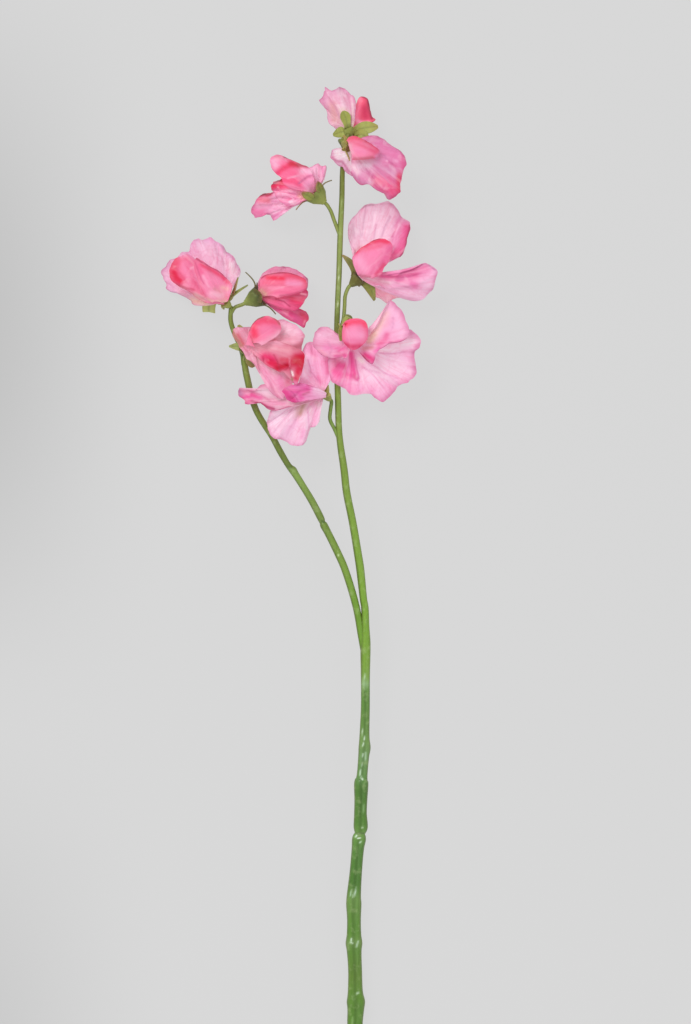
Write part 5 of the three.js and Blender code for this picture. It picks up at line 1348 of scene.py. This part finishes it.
def wrinkles(u, v, seed, points):
    """Pleats along the ribs, cross creases and a frilled rim, in millimetres."""
    random = np.random.default_rng(seed)
    relief = np.zeros_like(u)
    for frequency, height in PLEATS:
        phase, drift, sway = random.uniform(0, 2 * np.pi, 3)
        wander = 0.7 * np.sin(3.2 * v + drift) + 0.5 * np.sin(2.1 * u * frequency + sway)
        relief += height * v**1.3 * np.sin(2 * np.pi * frequency * u + phase + wander)
    for frequency, height in CREASES:
        phase, drift = random.uniform(0, 2 * np.pi, 2)
        wander = 1.5 * np.sin(2 * np.pi * u * 2.5 + drift)
        relief += height * v * np.sin(2 * np.pi * frequency * v + phase + wander)
    for frequency, height in FRILLS:
        wave = np.sin(2 * np.pi * points * frequency * u + random.uniform(0, 2 * np.pi))
        relief += height * wave * ramp(v, FRILLS_FROM, 1) ** 2
    return relief


def ragged(u, v, seed, points):
    """How far the rim stands in or out of its smooth line, in millimetres."""
    random = np.random.default_rng(seed + RAGS_SEED)
    edge = np.zeros_like(u)
    for frequency, reach in RAGS:
        edge += reach * np.sin(2 * np.pi * points * frequency * u + random.uniform(0, 2 * np.pi))
    return edge * v**8


def paint_petal(petal, place, u, v, seed):
    """Screen colours of a petal: from claw to rim, with its tints and a dark line on the rim."""
    random = np.random.default_rng(seed + PAINT_SEED)
    claw, blade, rim = (screen(code) for code in petal["colours"])
    colours = toward(claw, blade, ramp(v, 0, BLADE_FROM) ** BLADE_CURVE)
    colours = toward(colours, rim, ramp(v, RIM_FROM, 1) ** RIM_CURVE)
    for code, strength, radius, line in petal.get("tints", []):
        colours = toward(colours, screen(code), strength * bump(distance_to_line(place, line), radius))
    breaks, depth = RIM_LINE_BREAKS
    broken = 1 - depth + depth * np.sin(2 * np.pi * breaks * u + random.uniform(0, 2 * np.pi))
    line = RIM_LINE * petal.get("edge", 1) * broken * ramp(v, RIM_LINE_FROM, 1)
    return colours * (1 - line[..., None] * (1 - RIM_TONE))


def make_petal(name, calyx, material, seed):
    petal = PETALS[name]
    crumple = petal.get("crumple", CRUMPLE[name.split("_")[0]])
    place, u, v, front = petal_surface(petal, petal_claw(petal, calyx), seed, crumple)
    points = sheet_points(place, PETAL_THICKNESS, front)
    piece = make_object(f"{name}_petal", points, sheet_faces(u), material)
    colours = to_linear(paint_petal(petal, place, u, v, seed)).reshape(-1, 3)
    colours = colours * PETAL_SHADE * petal.get("light", 1)
    store_colours(piece.data, np.concatenate([colours, colours]), crumple)
    rim_length = np.linalg.norm(np.diff(place[-1], axis=0), axis=1).sum()
    reach = np.linalg.norm(place[-1] - place[0], axis=1).mean()
    uv = np.stack([u * rim_length, v * reach], axis=-1).reshape(-1, 2) / UV_UNIT
    store_uv(piece.data, np.concatenate([uv, uv]))
    return piece


# Calyces


def cup_surface(calyx):
    """The cup of a calyx: its points, its faces and how high each point lies, from 0 to 1."""
    foot, mouth, axis, upward, sideways = bloom_axes(calyx)
    length = np.linalg.norm(mouth - foot)
    low, wide = calyx["base_radius"], calyx["mouth_radius"]
    profile = [
        (CUP_POLE, 0), (low * 0.8, 0), (low, 0.1 * length),
        (wide * CUP_SHOULDER[0], length * CUP_SHOULDER[1]), (wide, length), (wide * 0.9, length),
        (wide * CUP_INSIDE, length * 0.9), (CUP_POLE, length - CUP_DEPTH),
    ]
    points, rise = [], []
    for radius, height in profile:
        for turn in np.linspace(0, 2 * np.pi, CUP_SIDES, endpoint=False):
            spoke = upward * math.cos(turn) + sideways * math.sin(turn)
            ribbed = 1 + CUP_RIBS * math.cos(SEPALS * turn) * height / length
            points.append(foot + axis * height + spoke * radius * ribbed)
            rise.append(height / length)
    faces = []
    for ring in range(len(profile) - 1):
        for k in range(CUP_SIDES):
            a = ring * CUP_SIDES + k
            b = ring * CUP_SIDES + (k + 1) % CUP_SIDES
            faces.append((a, a + CUP_SIDES, b + CUP_SIDES, b))
    faces.append(tuple(range(CUP_SIDES)))
    faces.append(tuple(range(len(points) - 1, len(points) - CUP_SIDES - 1, -1)))
    return points, faces, np.array(rise)


def sepal_surface(sepal, calyx):
    """The middle surface of a sepal as a grid of points, and its u and v."""
    _, mouth, axis, _, _ = bloom_axes(calyx)
    tip = np.array(sepal["tip"], float)
    out = unit(tip - mouth - axis * ((tip - mouth) @ axis))
    if sepal.get("flat"):
        side = unit(np.cross([0.0, 0.0, 1.0], tip - mouth))
    else:
        side = np.cross(axis, out)
    if "side" in sepal:
        side = unit(np.array(sepal["side"], float))
    root = mouth + out * calyx["mouth_radius"] * SEPAL_ROOT[0] - axis * SEPAL_ROOT[1]
    reach = np.linalg.norm(tip - root)
    knee = root + axis * reach * sepal.get("lean", SEPAL_LEAN) + out * reach * SEPAL_SPREAD
    knee = np.array(sepal["knee"], float) if "knee" in sepal else knee
    u, v = np.meshgrid(np.linspace(0, 1, SEPAL_COLUMNS + 1), np.linspace(0, 1, SEPAL_ROWS + 1))
    base, run, fullness = SEPAL_OUTLINE
    swell = base + sepal.get("run", run) * v ** sepal.get("late", 1)
    width = sepal["width"] * np.sin(np.pi * swell) ** fullness
    place = bend(root, knee, tip, v[..., None]) + side * ((u - 0.5) * width)[..., None]
    lifted = unit(np.cross(side, tip - root))
    lifted = lifted * np.sign(lifted[2] or 1)
    return place + lifted * (np.abs(u - 0.5) * width * SEPAL_HOLLOW)[..., None], u, v


def paint_sepal(u, v, codes, edge):
    """Screen colours of a sepal: root, blade and tip, with a dark midrib and an edge of its own."""
    root, blade, tip = (screen(code) for code in codes)
    side = np.abs(u - 0.5) * 2
    shade = toward(root, blade, ramp(v, 0, SEPAL_BLADE_FROM))
    shade = toward(shade, tip, ramp(v, SEPAL_TIP_FROM, 1))
    darkness, width = MIDRIB
    shade = shade * (1 - darkness * bump(side, width))[..., None]
    strength, start = SEPAL_EDGE
    return toward(shade, screen(edge), strength * ramp(side, start, 1))


def make_calyx(name, calyx, material):
    look = LEAVES[name]
    points, faces, rise = cup_surface(calyx)
    low, high = (screen(code) for code in look["cup"])
    colours = list(toward(low, high, rise))
    for number, sepal in enumerate(calyx["sepals"]):
        place, u, v = sepal_surface(sepal, calyx)
        faces += sheet_faces(u, len(points))
        points += list(sheet_points(place, SEPAL_THICKNESS))
        codes = look["sepals"][min(number, len(look["sepals"]) - 1)]
        shade = paint_sepal(u, v, codes, look["edge"]).reshape(-1, 3)
        colours += [*shade, *shade]
    piece = make_object(f"{name}_cup", points, faces, material, CUP_SHARP)
    store_colours(piece.data, to_linear(np.array(colours)))
    return piece


# Stem


def stem_height(y):
    return CUT_END[1] + STEM_RISE * (y - CUT_END[0])


def sheath_radius(y, diameter, sheath):
    """Half the width over the plastic sheath, which never reaches the floor."""
    levels, depths = zip(*sheath)
    return min(diameter / 2 + np.interp(y, levels, depths), stem_height(y) - SHEATH_CLEARANCE)


def stalk_routes():
    """Points and radii of the main stalk, of the side stalk and of each flower's own stalk."""
    routes = []
    for stations, sheath in ((MAIN_STEM, MAIN_SHEATH), (SIDE_STALK, SIDE_SHEATH)):
        table = [(x, y, stem_height(y), sheath_radius(y, across, sheath)) for x, y, across in stations]
        fine = spline(table, np.linspace(0, 1, (len(table) - 1) * STEM_STEPS + 1))
        routes.append((fine[:, :3], fine[:, 3]))
    for calyx in CALYCES:
        foot, _, axis, _, _ = bloom_axes(calyx)
        route = [*calyx["stalk"], foot - axis * STALK_LEAD, foot + axis * SOCKET_REACH]
        fine = spline(route, np.linspace(0, 1, (len(route) - 1) * STALK_STEPS + 1))
        routes.append((fine, [STALK_RADIUS] * len(fine)))
    return routes


def sweep_tree():
    """A geometry node tree that sweeps a round section along curves of varying radius."""
    tree = bpy.data.node_groups.new("stalk_sweep", "GeometryNodeTree")
    tree.interface.new_socket("Geometry", in_out="INPUT", socket_type="NodeSocketGeometry")
    sides = tree.interface.new_socket("Sides", in_out="INPUT", socket_type="NodeSocketInt")
    coat = tree.interface.new_socket("Coat", in_out="INPUT", socket_type="NodeSocketMaterial")
    tree.interface.new_socket("Geometry", in_out="OUTPUT", socket_type="NodeSocketGeometry")
    nodes, links = tree.nodes, tree.links
    source = nodes.new("NodeGroupInput")
    radius = nodes.new("GeometryNodeInputRadius")
    circle = nodes.new("GeometryNodeCurvePrimitiveCircle")
    circle.inputs["Radius"].default_value = 1.0
    sweep = nodes.new("GeometryNodeCurveToMesh")
    sweep.inputs["Fill Caps"].default_value = True
    smooth = nodes.new("GeometryNodeSetShadeSmooth")
    realize = nodes.new("GeometryNodeRealizeInstances")
    coating = nodes.new("GeometryNodeSetMaterial")
    result = nodes.new("NodeGroupOutput")
    links.new(source.outputs["Geometry"], sweep.inputs["Curve"])
    links.new(source.outputs["Sides"], circle.inputs["Resolution"])
    links.new(circle.outputs["Curve"], sweep.inputs["Profile Curve"])
    links.new(radius.outputs["Radius"], sweep.inputs["Scale"])
    links.new(sweep.outputs["Mesh"], smooth.inputs["Geometry"])
    links.new(smooth.outputs["Geometry"], realize.inputs["Geometry"])
    links.new(realize.outputs["Geometry"], coating.inputs["Geometry"])
    links.new(source.outputs["Coat"], coating.inputs["Material"])
    links.new(coating.outputs["Geometry"], result.inputs["Geometry"])
    return tree, sides.identifier, coat.identifier


def make_stem(material):
    curve = bpy.data.curves.new("stalks", "CURVE")
    curve.dimensions = "3D"
    routes = stalk_routes()
    for points, radii in routes:
        line = curve.splines.new("POLY")
        line.points.add(len(points) - 1)
        for target, point, radius in zip(line.points, points, radii):
            target.co = (*(point * MM), 1)
            target.radius = radius * MM
    stalks = bpy.data.objects.new("stalks", curve)
    bpy.context.scene.collection.objects.link(stalks)
    tree, sides, coat = sweep_tree()
    modifier = stalks.modifiers.new("sweep", "NODES")
    modifier.node_group = tree
    modifier[sides] = STEM_SIDES
    modifier[coat] = material
    swept = stalks.evaluated_get(bpy.context.evaluated_depsgraph_get())
    mesh = bpy.data.meshes.new_from_object(swept)
    bpy.data.objects.remove(stalks)
    piece = bpy.data.objects.new("stem_coated", mesh)
    bpy.context.scene.collection.objects.link(piece)
    side_start = len(routes[0][0]) * STEM_SIDES
    twig_start = side_start + len(routes[1][0]) * STEM_SIDES
    store_colours(mesh, to_linear(paint_stem(mesh, side_start, twig_start)))
    return piece


def paint_stem(mesh, side_start, twig_start):
    """Screen colours of the stem: along it, with painted shade on one side and at its edges,
    and with its glints, which are painted highlights.
    """
    place = vertex_values(mesh, "co") / MM
    normal = vertex_values(mesh, "normal")
    side, top = normal[:, 0], normal[:, 2]
    y = place[:, 1]
    colours = tones_along(MAIN_TONES, y)
    colours[side_start:twig_start] = tones_along(SIDE_TONES, y[side_start:twig_start])
    colours[twig_start:] = tones_along(TWIG_TONES, y[twig_start:])
    lower = ramp(y, *LOWER_STEM)
    middle, width, darkness = CORE
    colours = colours * (1 - darkness * lower * bump(side - middle, width))[:, None]
    # Painted shade on the left side of the upper stem, and along both edges of the whole stem
    code, start, end, strength = SHADED_SIDE
    colours = toward(colours, screen(code), strength * (1 - lower) * ramp(-side, start, end))
    code, start, end, strength = EDGE_SHADE
    colours = toward(colours, screen(code), strength * ramp(np.abs(side), start, end))
    colours = colours * STEM_SHADE
    # The pale tints are painted highlights, laid only on faces that look up; of the dark ones, the joint
    # marks are the stem's own and the strips along the upper stem's left edge are painted shade.
    for code, strength, radius, line in STEM_TINTS:
        weights = strength * bump(distance_to_line(place, line), radius) * (top > 0)
        colours = toward(colours, screen(code), weights)
    return colours


# Meshes


def make_object(name, points, faces, material, sharp=60):
    mesh = bpy.data.meshes.new(name)
    mesh.from_pydata((np.asarray(points) * MM).tolist(), [], faces)
    mesh.validate()
    mesh.materials.append(material)
    mesh.shade_smooth()
    mesh.set_sharp_from_angle(angle=math.radians(sharp))
    made = bpy.data.objects.new(name, mesh)
    bpy.context.scene.collection.objects.link(made)
    return made


def sheet_faces(grid, start=0):
    """Faces of a closed thin sheet: a front grid, a back grid and the band around them."""
    rows, columns = grid.shape[0] - 1, grid.shape[1] - 1
    width = columns + 1
    back = width * (rows + 1)
    faces = []
    for row in range(rows):
        for column in range(columns):
            a = start + row * width + column
            b = a + back
            faces.append((a, a + 1, a + width + 1, a + width))
            faces.append((b, b + width, b + width + 1, b + 1))
    border = list(range(columns))
    border += [row * width + columns for row in range(rows)]
    border += [rows * width + column for column in range(columns, 0, -1)]
    border += [row * width for row in range(rows, 0, -1)]
    for here, there in zip(border, border[1:] + border[:1]):
        faces.append((start + here, start + here + back, start + there + back, start + there))
    return faces


def sheet_points(place, thickness, front=None):
    """Both faces of a sheet around its middle surface, stiff at the root where a front is given."""
    normal = unit(np.cross(np.gradient(place, axis=1), np.gradient(place, axis=0)))
    if front is not None:
        normal = normal * np.where(normal @ front < 0, -1.0, 1.0)[..., None]
        stiff = ROOT_STIFFNESS * np.linspace(1, 0, place.shape[0])[:, None, None]
        normal = unit(normal + stiff * front)
    half = normal * thickness / 2
    return np.concatenate([(place + half).reshape(-1, 3), (place - half).reshape(-1, 3)])


def vertex_values(mesh, name):
    """Positions or normals of a mesh, a row for each vertex."""
    values = np.empty(len(mesh.vertices) * 3, np.float32)
    mesh.vertices.foreach_get(name, values)
    return values.reshape(-1, 3)


def store_colours(mesh, colours, crumpled=1.0):
    """Keeps the colours as the attribute that the materials read, and how crumpled as its alpha."""
    layer = mesh.color_attributes.new("tint", "FLOAT_COLOR", "POINT")
    values = np.empty((len(mesh.vertices), 4), np.float32)
    values[:, :3] = colours
    values[:, 3] = crumpled
    layer.data.foreach_set("color", values.ravel())


def store_uv(mesh, uv):
    layer = mesh.uv_layers.new(name="ribs")
    corners = np.empty(len(mesh.loops), np.int32)
    mesh.loops.foreach_get("vertex_index", corners)
    layer.data.foreach_set("uv", uv[corners].astype(np.float32).ravel())


def finish_piece(piece, node):
    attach(piece, "root")
    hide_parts(node)


# Shader graphs


class Wire:
    """An output of a shader node that takes part in Python arithmetic."""

    def __init__(self, graph, socket):
        self.graph = graph
        self.socket = socket

    def _math(self, operation, *values):
        return self.graph.add("ShaderNodeMath", {"operation": operation}, *values)

    def __add__(self, other):
        return self._math("ADD", self, other)

    def __radd__(self, other):
        return self._math("ADD", other, self)

    def __sub__(self, other):
        return self._math("SUBTRACT", self, other)

    def __rsub__(self, other):
        return self._math("SUBTRACT", other, self)

    def __mul__(self, other):
        return self._math("MULTIPLY", self, other)

    def __rmul__(self, other):
        return self._math("MULTIPLY", other, self)

    def magnitude(self):
        return self._math("ABSOLUTE", self)

    def step(self, low, high):
        """0 at low, 1 at high, smooth between."""
        settings = {"interpolation_type": "SMOOTHSTEP"}
        return self.graph.add("ShaderNodeMapRange", settings, self, low, high, 0.0, 1.0)


class Graph:
    """The node tree of one material."""

    def __init__(self, name):
        self.material = bpy.data.materials.new(name)
        self.material.use_nodes = True
        self.tree = self.material.node_tree
        self.tree.nodes.clear()

    def add(self, kind, settings, *inputs, output=0, **named):
        """A node of a kind, its settings set first, then its sockets by place or by name."""
        node = self.tree.nodes.new(kind)
        for key, value in settings.items():
            setattr(node, key, value)
        for place, value in enumerate(inputs):
            self.feed(node.inputs[place], value)
        for key, value in named.items():
            self.feed(node.inputs[key.replace("_", " ")], value)
        return Wire(self, node.outputs[output])

    def feed(self, socket, value):
        if isinstance(value, Wire):
            self.tree.links.new(value.socket, socket)
        elif value is not None:
            socket.default_value = value

    def tint(self, output=0):
        return self.add("ShaderNodeAttribute", {"attribute_name": "tint"}, output=output)

    def place(self):
        """Object coordinates."""
        return self.add("ShaderNodeTexCoord", {}, output=3)

    def blend(self, kind, factor, first, second):
        """Two colours mixed by a Mix node, whose colour sockets come after five that stay unused."""
        settings = {"data_type": "RGBA", "blend_type": kind}
        return self.add("ShaderNodeMix", settings, factor, *[None] * 5, first, second, output=2)

    def mix(self, factor, first, second):
        return self.blend("MIX", factor, first, second)

    def noise(self, vector, scale, detail=3.0, roughness=0.5, distortion=0.0):
        return self.add(
            "ShaderNodeTexNoise", {}, Vector=vector, Scale=scale, Detail=detail, Roughness=roughness,
            Distortion=distortion,
        )

    def weave(self, vector, scale):
        """Threads that cross each other."""
        warp = self.add("ShaderNodeTexWave", {"bands_direction": "X"}, Vector=vector, Scale=scale, output=1)
        weft = self.add("ShaderNodeTexWave", {"bands_direction": "Y"}, Vector=vector, Scale=scale, output=1)
        return warp * 0.5 + weft * 0.5

    def finish(self, shader):
        output = self.tree.nodes.new("ShaderNodeOutputMaterial")
        self.tree.links.new(shader.socket, output.inputs["Surface"])
        return self.material


def petal_material():
    """Printed cloth with darker veins, painted shade and highlights on its crumples, a faint glow of
    painted light and a fine weave.
    """
    graph = Graph("petal_cloth")
    tint = graph.tint()
    crumpled = graph.tint(output=3)
    ribs = graph.add("ShaderNodeUVMap", {"uv_map": "ribs"})
    place = graph.place()
    along = graph.add("ShaderNodeMapping", {}, Vector=ribs, Scale=(1.0, 0.2, 1.0))
    veins = graph.noise(along, 3.4, 2.0, 0.5, 0.8)
    streaks = graph.noise(along, 2.0, 1.5, 0.5, 0.4)
    crumple = graph.noise(place, 170.0, 2.0, 0.5, 0.5)
    line = (veins - 0.5).magnitude().step(0.05, 0.0) * crumpled
    # The creases and darker streaks are painted shade, and the paler streaks and raised crumples are
    # painted highlights; the same noises also raise the bump.
    crease = (crumple - 0.5).magnitude().step(0.06, 0.0) * crumpled
    shade = streaks.step(0.48, 0.72) * crumpled
    deep = graph.blend("MULTIPLY", line * 0.34 + shade * 0.26, tint, rgba("f4a6c4"))
    deep = graph.blend("MULTIPLY", crease * 0.22, deep, rgba("eea6c2"))
    light = (streaks.step(0.5, 0.3) * 0.2 + crumple.step(0.56, 0.76) * 0.3) * crumpled
    colour = graph.mix(light, deep, rgba("ffeef5"))
    threads = graph.weave(place, 620.0)
    height = threads * 0.015 + (veins * 0.4 + crumple * 0.9 + streaks * 0.5) * crumpled
    relief = graph.add("ShaderNodeBump", {}, Strength=0.6, Distance=0.0009, Height=height)
    # A faint glow in the cloth's own colour is painted light that lifts the shaded parts of the petals
    cloth = graph.add(
        "ShaderNodeBsdfPrincipled", {}, Base_Color=colour, Roughness=0.6 + veins * 0.2, Normal=relief,
        Sheen_Weight=0.1, Sheen_Roughness=0.5, IOR=1.35, Emission_Color=colour, Emission_Strength=0.15,
    )
    glow = graph.add("ShaderNodeBsdfTranslucent", {}, Color=colour, Normal=relief)
    return graph.finish(graph.add("ShaderNodeMixShader", {}, 0.14, cloth, glow))


def leaf_material():
    """Matt green cloth with pale and dark mottling."""
    graph = Graph("sepal_cloth")
    place = graph.place()
    mottle = graph.noise(place, 420.0, 3.0, 0.55)
    patch = graph.noise(place, 230.0, 2.0, 0.5)
    base = graph.blend("MULTIPLY", 1.0, graph.tint(), (1.14, 1.05, 0.78, 1.0))
    pale = graph.mix(mottle.step(0.5, 0.75) * 0.25, base, rgba("aab470"))
    dark = graph.mix(patch.step(0.5, 0.75) * 0.35, pale, rgba("4a5018"))
    relief = graph.add("ShaderNodeBump", {}, Strength=0.5, Distance=0.0004, Height=mottle)
    leaf = graph.add(
        "ShaderNodeBsdfPrincipled", {}, Base_Color=dark, Roughness=0.5 + mottle * 0.2, Normal=relief,
        Sheen_Weight=0.1,
    )
    return graph.finish(leaf)


def stem_material():
    """Moulded plastic with fine fibres along it and a thin gloss."""
    graph = Graph("stem_coat")
    place = graph.place()
    fibres = graph.add("ShaderNodeMapping", {}, Vector=place, Scale=(1.0, 0.08, 1.0))
    streak = graph.noise(fibres, 900.0, 3.0, 0.6)
    patches = graph.noise(place, 260.0, 3.0, 0.55)
    dark = graph.blend("MULTIPLY", streak.step(0.5, 0.7) * 0.3, graph.tint(), rgba("a8b88c"))
    body = graph.mix(patches.step(0.52, 0.75) * 0.25, dark, rgba("b4c48c"))
    height = streak * 0.5 + patches * 2.0
    relief = graph.add("ShaderNodeBump", {}, Strength=0.5, Distance=0.0005, Height=height)
    coat = graph.add(
        "ShaderNodeBsdfPrincipled", {}, Base_Color=body, Roughness=0.3 + patches * 0.25, Normal=relief,
        IOR=1.35, Coat_Weight=0.15, Coat_Roughness=0.15,
    )
    return graph.finish(coat)


def floor_material():
    """Pale paper with painted shade, a little darker towards the left edge of the picture."""
    graph = Graph("floor_paper")
    place = graph.place()
    across = graph.add("ShaderNodeSeparateXYZ", {}, Vector=place)
    height = graph.add("ShaderNodeSeparateXYZ", {}, Vector=place, output=1)
    left = across.step(-0.06, -0.19)
    middle = (height - 0.12).magnitude().step(0.22, 0.0)
    foot = height.step(-0.05, -0.26)
    dim = left * (middle * 0.75 + foot * 0.5)
    soft = graph.noise(place, 1.2, 1.0, 0.4)
    paper = graph.mix(soft, rgba("d6d6d6"), rgba("dadada"))
    shaded = graph.mix(dim, paper, rgba("b0b0b0"))
    ground = graph.add(
        "ShaderNodeBsdfPrincipled", {}, Base_Color=rgba("343434"), Roughness=0.9,
        Emission_Color=shaded, Emission_Strength=0.914,
    )
    return graph.finish(ground)


# Studio


def make_camera():
    camera = bpy.data.cameras.new("above")
    camera.sensor_fit = "VERTICAL"
    camera.sensor_height = SENSOR
    camera.lens = SENSOR * (LENS_DISTANCE - MIDDLE_HEIGHT) / (PHOTO_HEIGHT_MM * MM)
    camera.clip_end = 50
    seen = bpy.data.objects.new("above", camera)
    seen.location = (PHOTO_CENTRE[0] * MM, PHOTO_CENTRE[1] * MM, LENS_DISTANCE)
    bpy.context.scene.collection.objects.link(seen)
    bpy.context.scene.camera = seen


def make_lamp(name, size, power, place):
    lamp = bpy.data.lights.new(name, "AREA")
    lamp.shape = "DISK"
    lamp.size = size
    lamp.energy = power
    shown = bpy.data.objects.new(name, lamp)
    shown.location = place
    direction = Vector(LAMP_TARGET) - Vector(place)
    shown.rotation_euler = direction.to_track_quat("-Z", "Y").to_euler()
    bpy.context.scene.collection.objects.link(shown)


def make_studio():
    world = bpy.data.worlds.new("studio")
    world.use_nodes = True
    background = world.node_tree.nodes["Background"]
    background.inputs["Color"].default_value = (1.0, 1.0, 1.0, 1.0)
    background.inputs["Strength"].default_value = SKY_STRENGTH
    bpy.context.scene.world = world
    for name, size, power, place in LAMPS:
        make_lamp(name, size, power, place)
    signs = ((-1, -1), (1, -1), (1, 1), (-1, 1))
    corners = [(x * FLOOR_REACH, y * FLOOR_REACH, -FLOOR_DROP) for x, y in signs]
    make_object("floor", corners, [(0, 1, 2, 3)], floor_material())


make_camera()
make_studio()
finish_piece(make_stem(stem_material()), "stem")
cloth = petal_material()
leaf = leaf_material()
for number, calyx in enumerate(CALYCES, 1):
    node = f"calyx_{number}"
    finish_piece(make_calyx(node, calyx, leaf), node)
    for order, (kind, slot) in enumerate(PETAL_SLOTS.items()):
        node = f"{kind}_{number}"
        if node in PETALS:
            finish_piece(make_petal(node, calyx, cloth, 10 * number + order), node)

scene = bpy.context.scene
scene.view_settings.view_transform = "Standard"
scene.view_settings.look = "None"
